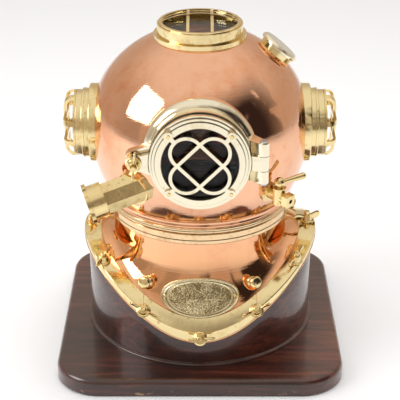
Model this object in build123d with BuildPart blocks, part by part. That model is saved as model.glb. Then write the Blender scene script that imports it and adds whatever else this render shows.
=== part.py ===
from build123d import *

import os
from math import asin, atan2, cos, degrees, pi, radians, sin, sqrt

os.makedirs("parts", exist_ok=True)

# A full-size copper and brass diving helmet on its walnut stand. Millimetres.
# The helmet faces -Y, +Z is up, and the origin is the middle of the stand's underside.

# Clearances and overruns
running_gap = 0.3
joint_gap = 0.6
overrun = 20
copper_wall = 2.5

# Stand: a rounded board under an oval drum, cut on top to the saddle of the breastplate
board_width = 400
board_depth = 390
board_thickness = 25
board_corner_radius = 62
board_top_round = 8
board_foot_round = 2
plinth_inset = 6
plinth_foot_bead = 4

# Saddle: the horizontal roll over the shoulders that the breastplate's brim follows
saddle_spare = 18
rim_half_width = 167
rim_half_depth = 162
rim_front_height = 58
brim_thickness = 3
strap_width = 25
strap_thickness = 8

# Chest and collar of the breastplate
chest_foot_height = 40
chest_side_inset = 17
chest_front_inset = 4.5
collar_height = 33
chest_shoulder_step = 6.5
chest_shoulder_round = 2
collar_radius = 120
collar_fillet = 4

# Neck: the two brass rings and the interrupted thread that joins them
neck_joint_height = 214
neck_ring_radius = 127
neck_ring_thickness = 16
neck_ring_bore_radius = 110.5
neck_skirt_depth = 14
neck_groove_drop = 9
ring_groove_rise = 4
ring_groove_width = 1
ring_groove_depth = 1.2
bonnet_ring_radius = 129
bonnet_ring_thickness = 9
bonnet_ring_round = 3
spigot_radius = 103.5
spigot_wall = 5.5
spigot_depth = 21
lug_count = 4
lug_width = 80
lug_thickness = 6.6
keeper_top_depth = 8
keeper_thickness = 6
gasket_inner_radius = 113
gasket_outer_radius = 122
gasket_thickness = 3
gasket_stand = 0.5

# Bonnet: the spun copper dome
bonnet_radius = 152.5
bonnet_foot_radius = 124
equator_height = 325
crown_height = 462
foot_bead_radius = 3.2

# Front door, on the axis that looks along -Y
door_height = 335
door_opening_radius = 49.5
door_radius = 65
door_face_radius = 62
door_lip_radius = 58
seat_face_distance = 154
seat_outer_radius = 67
seat_bell_radius = 75
seat_bell_distance = 128
door_gasket_thickness = 1.2
door_flange_thickness = 7.5
door_face_rise = 3
door_lip_rise = 2.5
door_glass_radius = 54
door_glass_thickness = 5.5
door_glass_ring_thickness = 1.5
door_guard_thickness = 3.5
door_guard_bar = 4.5
door_guard_offset = 20.5
door_guard_reach = 45
door_guard_lug_width = 12
guard_lug_count = 4
guard_turn = 45
door_guard_screw_radius = 59
guard_screw_radius = 2.6
guard_screw_head = 1.4

# Door hinge on the wearer's left
hinge_pin_x = 81
hinge_pin_distance = 160.5
hinge_knuckle_radius = 7
hinge_pin_radius = 3
hinge_tongue_half_height = 10
hinge_knuckle_length = 17
hinge_arm_root_x = 62
hinge_pin_head_radius = 5
hinge_pin_head_height = 3

# Door latch on the wearer's right: a swing bolt with a wing nut
latch_x = -84
latch_pin_distance = 146
latch_pin_radius = 2.5
latch_eye_radius = 6
latch_eye_half_width = 4.5
latch_bolt_radius = 3.5
latch_bolt_end_distance = 184
latch_lug_radius = 13
latch_lug_root = 21
latch_ear_radius = 7.5
latch_ear_root = 13
latch_ear_thickness = 14
latch_pin_half_length = 12
latch_nut_gap = 1.5
latch_nut_turn = 96

# Wing nuts
nut_hub_radius = 7.5
nut_top_radius = 6
nut_flange_radius = 10
nut_flange_thickness = 2.2
nut_hub_height = 12
nut_half_span = 21
nut_wing_height = 15
nut_wing_thickness = 4
nut_wing_lift = 1
stud_radius = 4
stud_stand = 4
stud_count = 12

# Side windows, on the axes that look along -X and +X
side_window_height = 325
side_opening_radius = 38
side_flange_radius = 54.5
side_flange_distance = 152
side_boss_radius = 48
side_boss_distance = 158
side_ring_radius = 46
side_ring_distance = 170
side_ring_lip = 4.7
side_glass_radius = 43.5
side_glass_thickness = 5.5
side_gasket_thickness = 1.2
side_guard_rise = 17
side_guard_thickness = 4
side_guard_bar = 6.5
side_guard_corner = 13
side_guard_spacing = 14
side_guard_base = 3

# Crown window, on the vertical axis
crown_opening_radius = 50
crown_flange_radius = 63
crown_flange_height = 456
crown_ring_radius = 58
crown_ring_depth = 14
crown_ring_lip = 4
crown_glass_radius = 54
crown_glass_thickness = 6
crown_gasket_thickness = 1.2
crown_guard_plate = 2
crown_guard_rise = 8
crown_bar_width = 4
crown_bar_depth = 4
crown_strap_width = 3.5
crown_strap_depth = 9
crown_bar_offset = 16

# Telephone cup: a round cap high on the wearer's left
cup_azimuth = 6.6
cup_centre_height = 425
cup_radius = 25
cup_height = 5
cup_root = 14
cup_wire_radius = 5
cup_bore_radius = 18
cup_bore_depth = 6
cup_cap_radius = 28.5
cup_cap_thickness = 7
cup_cap_bevel = 3

# Exhaust valve low on the wearer's right front
exhaust_azimuth = 234.2
exhaust_height = 281
exhaust_turn = 192
exhaust_droop = 17
exhaust_barrel_radius = 19.5
exhaust_barrel_length = 50
exhaust_barrel_wall = 3
exhaust_base_radius = 24
exhaust_base_thickness = 5
exhaust_base_root = 12
exhaust_root = 30
exhaust_port_radius = 10
exhaust_seat_distance = 17
exhaust_cap_radius = 24
exhaust_cap_sides = 12
exhaust_barrel_sides = 8
exhaust_facet_radius = 22
exhaust_cap_lap = 8
exhaust_cap_length = 24
exhaust_cap_wall = 4
exhaust_wheel_radius = 28
exhaust_wheel_thickness = 5
exhaust_wheel_lobes = 6
exhaust_notch_radius = 11
exhaust_notch_depth = 4
exhaust_plug_radius = 14
exhaust_plug_groove = 1.5
exhaust_disc_radius = 13
exhaust_disc_thickness = 3
exhaust_stem_radius = 3
exhaust_stem_reach = 34
exhaust_guide_length = 16
exhaust_button_radius = 9
exhaust_button_thickness = 4
exhaust_spring_radius = 8
exhaust_spring_wire_radius = 0.8
exhaust_spring_pitch = 5
exhaust_spring_turns = 7

# Spitcock low on the wearer's left front
cock_azimuth = 309
cock_height = 272
cock_turn = 319
cock_droop = 6
cock_base_radius = 14
cock_base_thickness = 4
cock_base_root = 8
cock_root = 16
cock_barrel_radius = 8
cock_barrel_length = 28
cock_nozzle_flat = 17
cock_nozzle_length = 9
cock_bore_radius = 3
cock_housing_radius = 9
cock_housing_height = 13
cock_housing_foot = 10
cock_plug_distance = 18
cock_plug_radius = 5
cock_ball_radius = 7.5
cock_ball_rise = 7
cock_lever_length = 38
cock_lever_socket = 3
cock_lever_root_radius = 3
cock_lever_tip_radius = 4.6
cock_lever_turn = 20
cock_lever_rise = 8

# Air and telephone elbows at the back
air_elbow_azimuth = 122
telephone_elbow_azimuth = 58
elbow_height = 352
elbow_base_radius = 22
elbow_base_thickness = 4
elbow_base_root = 10
elbow_root = 12
elbow_reach = 40
elbow_bend_radius = 18
elbow_drop = 26
elbow_tube_radius = 12
elbow_bore_radius = 7.5
coupling_hex_flat = 30
coupling_hex_length = 10
air_valve_radius = 17
air_valve_length = 24
air_flap_thickness = 3
air_thread_radius = 13
air_thread_length = 14
telephone_nut_length = 12
telephone_cap_radius = 14
telephone_cap_length = 6
telephone_cap_round = 2

# Safety catch at the back of the neck
catch_lug_width = 12
catch_lug_half_height = 4
catch_pin_reach = 7
catch_pin_radius = 1.5
catch_arm_length = 20
catch_arm_radius = 3.5
catch_arm_thickness = 4

# Lanyard posts and the oval plate on the chest
post_x = 71
post_lift = 13
post_turn = 62
post_rise = 20
post_root = 5
post_foot_radius = 8
post_foot_height = 4
post_neck_radius = 5
post_neck_height = 5
post_knob_radius = 9
post_knob_height = 7
post_knob_round = 2.5
plate_half_width = 53.5
plate_strap_gap = 9.1
plate_top_gap = 18
plate_thickness = 1.6
plate_rim_width = 2.4
plate_rim_thickness = 2.6
plate_screw_x = 48
plate_screw_radius = 2.2
plate_screw_head = 1.2

# Values that follow from the sizes above
saddle_radius = rim_half_depth + saddle_spare
chest_foot_half_width = rim_half_width - chest_side_inset
chest_foot_half_depth = rim_half_depth - chest_front_inset
chest_top_height = neck_joint_height - neck_ring_thickness - collar_height
chest_top_radius = collar_radius + chest_shoulder_step
saddle_axis_height = rim_front_height - sqrt(saddle_radius**2 - rim_half_depth**2)
rim_front_angle = asin(rim_half_depth / saddle_radius)
bonnet_seat_height = neck_joint_height + gasket_stand + running_gap
bonnet_foot_height = bonnet_seat_height + bonnet_ring_thickness
bonnet_drop = equator_height - bonnet_foot_height
bonnet_inset = bonnet_radius - bonnet_foot_radius
bonnet_lower_radius = (bonnet_drop**2 + bonnet_inset**2) / (2 * bonnet_inset)
crown_rise = crown_height - equator_height
door_back_distance = seat_face_distance + running_gap + door_gasket_thickness
door_flange_distance = door_back_distance + door_flange_thickness
door_face_distance = door_flange_distance + door_face_rise
door_lip_distance = door_face_distance + door_lip_rise
crown_face_height = crown_flange_height + crown_ring_depth
brim_skin_radius = saddle_radius + brim_thickness
strap_skin_radius = brim_skin_radius + strap_thickness
span = 2 * max(board_width, board_depth)
quarter_turn = 90
full_turn = 360
upright = (Align.CENTER, Align.CENTER, Align.MIN)


def band_half_depth(inset):
    """The half depth of an oval a given width inside the brim's edge, measured along the saddle."""
    return saddle_radius * sin(rim_front_angle - inset / saddle_radius)


strap_inner_height = saddle_axis_height + sqrt(brim_skin_radius**2 - band_half_depth(strap_width) ** 2)
plate_foot_height = strap_inner_height + plate_strap_gap
plate_half_height = (chest_top_height - plate_top_gap - plate_foot_height) / 2
plate_height = plate_foot_height + plate_half_height
post_height = plate_height + post_lift


def bonnet_radius_at(height):
    """The dome's outer radius at a height: an ellipse above the equator and an arc below it."""
    if height > equator_height:
        return bonnet_radius * sqrt(1 - ((height - equator_height) / crown_rise) ** 2)
    below = equator_height - height
    return bonnet_radius - bonnet_lower_radius + sqrt(bonnet_lower_radius**2 - below**2)


def dome_point(azimuth, height):
    """The point of the dome's skin at an azimuth, counted from +X towards +Y, and a height."""
    radius = bonnet_radius_at(height)
    return Vector(radius * cos(radians(azimuth)), radius * sin(radians(azimuth)), height)


def heading(azimuth, elevation):
    """A unit vector at an azimuth from +X and an elevation above the horizon."""
    level = cos(radians(elevation))
    return Vector(level * cos(radians(azimuth)), level * sin(radians(azimuth)), sin(radians(elevation)))


def axis_of(seat):
    """The line that a seat plane's pieces are turned about."""
    return Axis(seat.origin, seat.z_dir)


def radial_plane(seat):
    """A plane through a seat's axis: its x runs out from the axis and its y along it."""
    return Plane(origin=seat.origin, x_dir=seat.x_dir, z_dir=-seat.y_dir)


front_seat = Plane(origin=(0, 0, door_height), x_dir=(1, 0, 0), z_dir=(0, -1, 0))
crown_seat = Plane.XY


# Shapes that several pieces are cut to
with BuildPart() as bonnet_form:
    with BuildSketch(Plane.XZ):
        with BuildLine():
            TangentArc(
                (bonnet_radius, equator_height), (bonnet_foot_radius, bonnet_foot_height), tangent=(0, -1)
            )
            Polyline(
                (bonnet_foot_radius, bonnet_foot_height),
                (0, bonnet_foot_height),
                (0, crown_height),
            )
            EllipticalCenterArc(
                (0, equator_height), bonnet_radius, crown_rise, start_angle=0, arc_size=quarter_turn
            )
        make_face()
    revolve(axis=Axis.Z)


def saddle_roll(radius):
    """The solid roll along X whose skin the brim and the straps lie on."""
    with BuildPart() as roll:
        with BuildSketch(Plane.YZ):
            with Locations((0, saddle_axis_height)):
                Circle(radius)
        extrude(amount=span / 2, both=True)
    return roll.part


def oval_column(half_width, half_depth):
    """An upright oval column, tall enough to cut every piece of the saddle."""
    with BuildPart() as column:
        with BuildSketch():
            Ellipse(half_width, half_depth)
        extrude(amount=neck_joint_height)
    return column.part


def stud_plane(index, radius):
    """A plane square to the saddle at one stud of the brim, at a distance from the saddle's axis."""
    turn = radians(index * full_turn / stud_count)
    x = (rim_half_width - strap_width / 2) * sin(turn)
    lean = asin(-band_half_depth(strap_width / 2) * cos(turn) / saddle_radius)
    height = saddle_axis_height + radius * cos(lean)
    return Plane(origin=(x, radius * sin(lean), height), x_dir=(1, 0, 0), z_dir=(0, sin(lean), cos(lean)))


# Stand
with BuildPart() as base_board:
    with BuildSketch():
        RectangleRounded(board_width, board_depth, board_corner_radius)
    extrude(amount=board_thickness)
    fillet(base_board.faces().sort_by(Axis.Z)[-1].edges(), board_top_round)
    fillet(base_board.faces().sort_by(Axis.Z)[0].edges(), board_foot_round)
base_board.part.label = "base_board"
export_step(base_board.part, "parts/base_board.step")

bead_inset = plinth_inset - plinth_foot_bead
with BuildPart() as plinth:
    with BuildSketch(Plane.XY.offset(board_thickness)):
        Ellipse(rim_half_width - plinth_inset, rim_half_depth - plinth_inset)
    extrude(amount=neck_joint_height - board_thickness)
    add(saddle_roll(saddle_radius - running_gap), mode=Mode.INTERSECT)
    with BuildSketch(Plane.XY.offset(board_thickness)):
        Ellipse(rim_half_width - bead_inset, rim_half_depth - bead_inset)
    extrude(amount=plinth_foot_bead)
plinth.part.label = "plinth"
export_step(plinth.part, "parts/plinth.step")

# Breastplate shell: brim, chest and collar spun and hammered from one copper sheet
def chest_form(growth):
    """The chest's tapering form, grown outwards all round: an oval foot under a round top."""
    with BuildPart() as chest:
        with BuildSketch(Plane.XY.offset(chest_foot_height)):
            Ellipse(chest_foot_half_width + growth, chest_foot_half_depth + growth)
        with BuildSketch(Plane.XY.offset(chest_top_height)):
            Circle(chest_top_radius + growth)
        loft()
    return chest.part


def chest_half_depth_at(x, height):
    """How far the chest's skin stands in front of the neck's axis, at a place across it and a height."""
    share = (height - chest_foot_height) / (chest_top_height - chest_foot_height)
    half_width = chest_foot_half_width + share * (chest_top_radius - chest_foot_half_width)
    half_depth = chest_foot_half_depth + share * (chest_top_radius - chest_foot_half_depth)
    return half_depth * sqrt(1 - (x / half_width) ** 2)


with BuildPart() as brim:
    add(oval_column(rim_half_width, rim_half_depth))
    add(saddle_roll(brim_skin_radius), mode=Mode.INTERSECT)
    add(saddle_roll(saddle_radius), mode=Mode.SUBTRACT)

collar_top_height = neck_joint_height - neck_ring_thickness
collar_bore_radius = collar_radius - copper_wall
with BuildPart() as breastplate_shell:
    add(chest_form(0))
    fillet(breastplate_shell.faces().sort_by(Axis.Z)[-1].edges(), chest_shoulder_round)
    with BuildSketch(Plane.XY.offset(chest_top_height)):
        Circle(collar_radius)
    extrude(amount=collar_top_height - chest_top_height)
    collar_foot = breastplate_shell.edges().filter_by(GeomType.CIRCLE).group_by(Axis.Z)[-2]
    fillet(collar_foot.group_by(SortBy.RADIUS)[0], collar_fillet)
    add(saddle_roll(saddle_radius), mode=Mode.SUBTRACT)
    add(brim.part)
    with BuildSketch(Plane.XY.offset(chest_foot_height)):
        Ellipse(chest_foot_half_width - copper_wall, chest_foot_half_depth - copper_wall)
    with BuildSketch(Plane.XY.offset(chest_top_height - copper_wall)):
        Circle(chest_top_radius - copper_wall)
    loft(mode=Mode.SUBTRACT)
    with BuildSketch(Plane.XY.offset(chest_foot_height)):
        Circle(collar_bore_radius)
    extrude(amount=neck_joint_height, mode=Mode.SUBTRACT)
    with Locations(*[stud_plane(index, brim_skin_radius) for index in range(stud_count)]):
        Cylinder(stud_radius, 2 * overrun, mode=Mode.SUBTRACT)
breastplate_shell.part.label = "breastplate_shell"
export_step(breastplate_shell.part, "parts/breastplate_shell.step")

# Brass straps that clamp the brim: front, rear and one over each shoulder, parted beside the second studs
with BuildPart() as strap_oval:
    add(oval_column(rim_half_width, rim_half_depth))
    add(oval_column(rim_half_width - strap_width, band_half_depth(strap_width)), mode=Mode.SUBTRACT)
    add(saddle_roll(strap_skin_radius), mode=Mode.INTERSECT)
    add(saddle_roll(brim_skin_radius), mode=Mode.SUBTRACT)
    with Locations(*[stud_plane(index, brim_skin_radius) for index in range(stud_count)]):
        Cylinder(stud_radius, 2 * overrun, mode=Mode.SUBTRACT)

strap_joint_x = stud_plane(1, brim_skin_radius).origin.X
side_strap_span = rim_half_width - strap_joint_x
for name, x, y, width, depth in (
    ("strap_front", 0, -rim_half_depth / 2, 2 * strap_joint_x, rim_half_depth),
    ("strap_rear", 0, rim_half_depth / 2, 2 * strap_joint_x, rim_half_depth),
    ("strap_right", -strap_joint_x - side_strap_span / 2, 0, side_strap_span, 2 * rim_half_depth),
    ("strap_left", strap_joint_x + side_strap_span / 2, 0, side_strap_span, 2 * rim_half_depth),
):
    with BuildPart() as strap:
        add(strap_oval.part)
        with BuildSketch():
            with Locations((x, y)):
                Rectangle(width - joint_gap, depth)
        extrude(amount=neck_joint_height, mode=Mode.INTERSECT)
    strap.part.label = name
    export_step(strap.part, f"parts/{name}.step")

# Twelve studs through brim and straps, and their wing nuts
with BuildPart() as rim_studs:
    stud_length = brim_thickness + strap_thickness + nut_hub_height + stud_stand
    with Locations(*[stud_plane(index, saddle_radius) for index in range(stud_count)]):
        Cylinder(stud_radius, stud_length, align=upright)
rim_studs.part.label = "rim_studs"
export_step(rim_studs.part, "parts/rim_studs.step")

with BuildPart() as wing_nut_form:
    with BuildSketch(Plane.XZ):
        with BuildLine():
            Polyline(
                (0, 0),
                (nut_flange_radius, 0),
                (nut_flange_radius, nut_flange_thickness),
                (nut_hub_radius, nut_flange_thickness),
                (nut_top_radius, nut_hub_height),
                (0, nut_hub_height),
                close=True,
            )
        make_face()
    revolve(axis=Axis.Z)
    nut_wing_foot = nut_flange_thickness + nut_wing_lift
    nut_lobe_radius = (nut_wing_height - nut_wing_foot) / 2
    for side in (-1, 1):
        with BuildSketch(Plane.XZ):
            with Locations((side * (nut_half_span - nut_lobe_radius), nut_wing_foot + nut_lobe_radius)):
                Circle(nut_lobe_radius)
            with Locations((0, nut_wing_foot + nut_wing_lift)):
                Circle(nut_wing_thickness)
            make_hull()
        extrude(amount=nut_wing_thickness / 2, both=True)
    Cylinder(stud_radius, 2 * overrun, mode=Mode.SUBTRACT)

# How far each nut of the brim is turned from square, as it was left when tightened
nut_turns = (4, 24, 58, 22, 118, 156, 10, 35, 60, 80, 62, 152)
with BuildPart() as rim_wing_nuts:
    for index, turn in enumerate(nut_turns):
        with Locations(stud_plane(index, strap_skin_radius).location * Rotation(0, 0, turn)):
            add(wing_nut_form.part)
rim_wing_nuts.part.label = "rim_wing_nuts"
export_step(rim_wing_nuts.part, "parts/rim_wing_nuts.step")

# Neck ring of the breastplate, with the keepers of the interrupted thread in its bore
keeper_top_height = neck_joint_height - keeper_top_depth
keeper_bottom_height = keeper_top_height - keeper_thickness
lug_gap_width = 2 * pi * neck_ring_bore_radius / lug_count - lug_width
with BuildPart() as breastplate_neck_ring:
    with BuildSketch(Plane.XY.offset(collar_top_height)):
        Circle(neck_ring_radius)
        Circle(neck_ring_bore_radius, mode=Mode.SUBTRACT)
    extrude(amount=neck_ring_thickness)
    ring_edges = breastplate_neck_ring.edges().filter_by(GeomType.CIRCLE)
    chamfer(ring_edges.group_by(SortBy.RADIUS)[-1], copper_wall / 2)
    with BuildSketch(Plane.XY.offset(neck_joint_height - neck_groove_drop)):
        Circle(neck_ring_radius)
        Circle(neck_ring_radius - ring_groove_depth, mode=Mode.SUBTRACT)
    extrude(amount=-ring_groove_width, mode=Mode.SUBTRACT)
    with BuildSketch(Plane.XY.offset(collar_top_height - neck_skirt_depth)):
        Circle(collar_bore_radius)
        Circle(neck_ring_bore_radius, mode=Mode.SUBTRACT)
    extrude(amount=neck_skirt_depth)
    with BuildSketch(Plane.XY.offset(keeper_bottom_height)):
        Circle(neck_ring_bore_radius)
        Circle(spigot_radius + joint_gap, mode=Mode.SUBTRACT)
        with PolarLocations(spigot_radius, lug_count, start_angle=full_turn / (2 * lug_count)):
            Rectangle(2 * overrun, lug_gap_width, mode=Mode.SUBTRACT)
    extrude(amount=keeper_thickness)
    with BuildSketch(Plane.XY.offset(neck_joint_height)):
        Circle(gasket_outer_radius)
        Circle(gasket_inner_radius, mode=Mode.SUBTRACT)
    extrude(amount=gasket_stand - gasket_thickness, mode=Mode.SUBTRACT)
breastplate_neck_ring.part.label = "breastplate_neck_ring"
export_step(breastplate_neck_ring.part, "parts/breastplate_neck_ring.step")

with BuildPart() as neck_gasket:
    with BuildSketch(Plane.XY.offset(neck_joint_height + gasket_stand)):
        Circle(gasket_outer_radius)
        Circle(gasket_inner_radius, mode=Mode.SUBTRACT)
    extrude(amount=-gasket_thickness)
neck_gasket.part.label = "neck_gasket"
export_step(neck_gasket.part, "parts/neck_gasket.step")

# Lanyard posts on the chest
post_places = []
for side in (-1, 1):
    post_root_point = Vector(side * post_x, -chest_half_depth_at(post_x, post_height), post_height)
    post_places.append(
        Plane(
            origin=post_root_point,
            z_dir=heading(side * (quarter_turn - post_turn) - quarter_turn, post_rise),
        ).location
    )
with BuildPart() as front_posts:
    with Locations(*post_places):
        with Locations((0, 0, -post_root)):
            Cylinder(post_foot_radius, post_root + post_foot_height, align=upright)
        with Locations((0, 0, post_foot_height)):
            Cylinder(post_neck_radius, post_neck_height, align=upright)
        with Locations((0, 0, post_foot_height + post_neck_height)):
            Cylinder(post_knob_radius, post_knob_height, align=upright)
    knob_rims = front_posts.edges().filter_by(GeomType.CIRCLE).group_by(SortBy.RADIUS)[-1]
    fillet(knob_rims, post_knob_round)
    add(chest_form(0), mode=Mode.SUBTRACT)
front_posts.part.label = "front_posts"
export_step(front_posts.part, "parts/front_posts.step")


# Oval plate bent round the chest, and its two screws
def oval_on_chest(inset, thickness):
    """An oval of sheet bent round the front of the chest."""
    with BuildPart() as sheet:
        with BuildSketch(Plane.XZ):
            with Locations((0, plate_height)):
                Ellipse(plate_half_width - inset, plate_half_height - inset)
        extrude(amount=span / 2)
        add(chest_form(thickness), mode=Mode.INTERSECT)
        add(chest_form(0), mode=Mode.SUBTRACT)
    return sheet.part


with BuildPart() as oval_plate:
    add(oval_on_chest(0, plate_rim_thickness))
    add(oval_on_chest(plate_rim_width, plate_rim_thickness + overrun), mode=Mode.SUBTRACT)
    add(oval_on_chest(0, plate_thickness))
oval_plate.part.label = "oval_plate"
export_step(oval_plate.part, "parts/oval_plate.step")

plate_screw_places = []
for side in (-1, 1):
    screw_y = -chest_half_depth_at(plate_screw_x, plate_height)
    screw_point = Vector(side * plate_screw_x, screw_y, plate_height)
    screw_turn = degrees(atan2(screw_y, side * plate_screw_x))
    plate_screw_places.append(Plane(origin=screw_point, z_dir=heading(screw_turn, 0)).location)
with BuildPart() as plate_screws:
    with Locations(*plate_screw_places):
        Cylinder(plate_screw_radius, plate_thickness + plate_screw_head, align=upright)
    add(oval_on_chest(0, plate_thickness), mode=Mode.SUBTRACT)
    add(chest_form(0), mode=Mode.SUBTRACT)
plate_screws.part.label = "plate_screws"
export_step(plate_screws.part, "parts/plate_screws.step")

# Bonnet ring, with the spigot and lugs that turn under the keepers
spigot_bottom_height = neck_joint_height - spigot_depth
spigot_bore_radius = spigot_radius - spigot_wall
catch_plane = Plane(
    origin=(0, bonnet_ring_radius + catch_pin_reach, bonnet_seat_height + bonnet_ring_thickness / 2),
    x_dir=(0, 1, 0),
    z_dir=(1, 0, 0),
)
with BuildPart() as bonnet_neck_ring:
    with BuildSketch(Plane.XY.offset(bonnet_seat_height)):
        Circle(bonnet_ring_radius)
        Circle(spigot_bore_radius, mode=Mode.SUBTRACT)
    extrude(amount=bonnet_ring_thickness)
    bonnet_ring_edges = bonnet_neck_ring.edges().filter_by(GeomType.CIRCLE)
    fillet(bonnet_ring_edges.group_by(SortBy.RADIUS)[-1], bonnet_ring_round)
    with BuildSketch(Plane.XY.offset(bonnet_seat_height + ring_groove_rise)):
        Circle(bonnet_ring_radius)
        Circle(bonnet_ring_radius - ring_groove_depth, mode=Mode.SUBTRACT)
    extrude(amount=ring_groove_width, mode=Mode.SUBTRACT)
    with BuildSketch(Plane.XY.offset(spigot_bottom_height)):
        Circle(spigot_radius)
        Circle(spigot_bore_radius, mode=Mode.SUBTRACT)
    extrude(amount=bonnet_seat_height - spigot_bottom_height)
    with BuildSketch(Plane.XY.offset(spigot_bottom_height)) as lug_sketch:
        with PolarLocations(spigot_radius, lug_count):
            Rectangle(2 * overrun, lug_width)
        Circle(neck_ring_bore_radius - joint_gap, mode=Mode.INTERSECT)
        Circle(spigot_radius - spigot_wall / 2, mode=Mode.SUBTRACT)
    extrude(amount=lug_thickness)
    # Lug of the safety catch, slotted for its arm
    with BuildSketch(Plane.XY.offset(bonnet_seat_height + bonnet_ring_thickness / 2)):
        with Locations((0, bonnet_ring_radius + catch_pin_reach / 2)):
            Rectangle(catch_lug_width, catch_pin_reach + 2 * catch_arm_radius)
    extrude(amount=catch_lug_half_height, both=True)
    with BuildSketch(Plane.XY.offset(spigot_bottom_height)):
        with Locations((0, bonnet_ring_radius + catch_pin_reach)):
            Rectangle(catch_arm_thickness + 2 * joint_gap, 2 * (catch_pin_reach - joint_gap))
    extrude(amount=2 * overrun, mode=Mode.SUBTRACT)
    with BuildSketch(catch_plane):
        Circle(catch_pin_radius)
    extrude(amount=catch_lug_width, both=True, mode=Mode.SUBTRACT)
bonnet_neck_ring.part.label = "bonnet_neck_ring"
export_step(bonnet_neck_ring.part, "parts/bonnet_neck_ring.step")

with BuildPart() as catch_pin:
    with BuildSketch(catch_plane):
        Circle(catch_pin_radius)
    extrude(amount=catch_lug_width / 2, both=True)
catch_pin.part.label = "catch_pin"
export_step(catch_pin.part, "parts/catch_pin.step")

with BuildPart() as safety_catch:
    with BuildSketch(catch_plane):
        Circle(catch_arm_radius)
        with Locations((0, -catch_arm_length)):
            Circle(catch_arm_radius)
        make_hull()
        Circle(catch_pin_radius + running_gap, mode=Mode.SUBTRACT)
    extrude(amount=catch_arm_thickness / 2, both=True)
safety_catch.part.label = "safety_catch"
export_step(safety_catch.part, "parts/safety_catch.step")


# Bonnet shell, pierced for its four windows and for what is soldered to it
def dome_normal_rise(height):
    """The elevation of the dome's outward normal at a height, in degrees."""
    if height > equator_height:
        level = bonnet_radius_at(height) / bonnet_radius**2
        return degrees(atan2((height - equator_height) / crown_rise**2, level))
    return -degrees(asin((equator_height - height) / bonnet_lower_radius))


def dome_plane(azimuth, height):
    """A plane that touches the dome, with its z pointing straight out of it."""
    level = heading(azimuth + quarter_turn, 0)
    outward = heading(azimuth, dome_normal_rise(height))
    return Plane(origin=dome_point(azimuth, height), x_dir=level, z_dir=outward)


def side_seat(side):
    """The plane of a side window: -1 is the wearer's right and 1 the wearer's left."""
    return Plane(origin=(0, 0, side_window_height), x_dir=(0, side, 0), z_dir=(side, 0, 0))


cup_seat = dome_plane(cup_azimuth, cup_centre_height)
exhaust_base = dome_plane(exhaust_azimuth, exhaust_height)
exhaust_seat = Plane(
    origin=exhaust_base.origin,
    x_dir=heading(exhaust_turn + quarter_turn, 0),
    z_dir=heading(exhaust_turn, -exhaust_droop),
)
cock_base = dome_plane(cock_azimuth, cock_height)
cock_seat = Plane(
    origin=cock_base.origin,
    x_dir=heading(cock_turn + quarter_turn, 0),
    z_dir=heading(cock_turn, -cock_droop),
)
elbow_seats = {
    "air": dome_plane(air_elbow_azimuth, elbow_height),
    "telephone": dome_plane(telephone_elbow_azimuth, elbow_height),
}

with BuildPart() as bonnet_shell:
    add(bonnet_form.part)
    with BuildSketch(Plane.XZ):
        with Locations((bonnet_foot_radius, bonnet_foot_height + foot_bead_radius)):
            Circle(foot_bead_radius)
    revolve(axis=Axis.Z)
    with BuildSketch(Plane.XZ):
        with BuildLine():
            TangentArc(
                (bonnet_radius - copper_wall, equator_height),
                (bonnet_foot_radius - copper_wall, bonnet_foot_height),
                tangent=(0, -1),
            )
            Polyline(
                (bonnet_foot_radius - copper_wall, bonnet_foot_height),
                (0, bonnet_foot_height),
                (0, crown_height - copper_wall),
            )
            EllipticalCenterArc(
                (0, equator_height),
                bonnet_radius - copper_wall,
                crown_rise - copper_wall,
                start_angle=0,
                arc_size=quarter_turn,
            )
        make_face()
    revolve(axis=Axis.Z, mode=Mode.SUBTRACT)
    for seat, radius in (
        (front_seat, door_opening_radius),
        (side_seat(-1), side_opening_radius),
        (side_seat(1), side_opening_radius),
        (crown_seat.offset(equator_height), crown_opening_radius),
    ):
        with BuildSketch(seat):
            Circle(radius)
        extrude(amount=2 * bonnet_radius, mode=Mode.SUBTRACT)
    for seat, radius in (
        (cup_seat, cup_wire_radius),
        (exhaust_seat, exhaust_port_radius),
        (cock_seat, cock_bore_radius),
        (elbow_seats["air"], elbow_bore_radius),
        (elbow_seats["telephone"], elbow_bore_radius),
    ):
        with BuildSketch(seat):
            Circle(radius)
        extrude(amount=2 * overrun, both=True, mode=Mode.SUBTRACT)
bonnet_shell.part.label = "bonnet_shell"
export_step(bonnet_shell.part, "parts/bonnet_shell.step")

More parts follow.
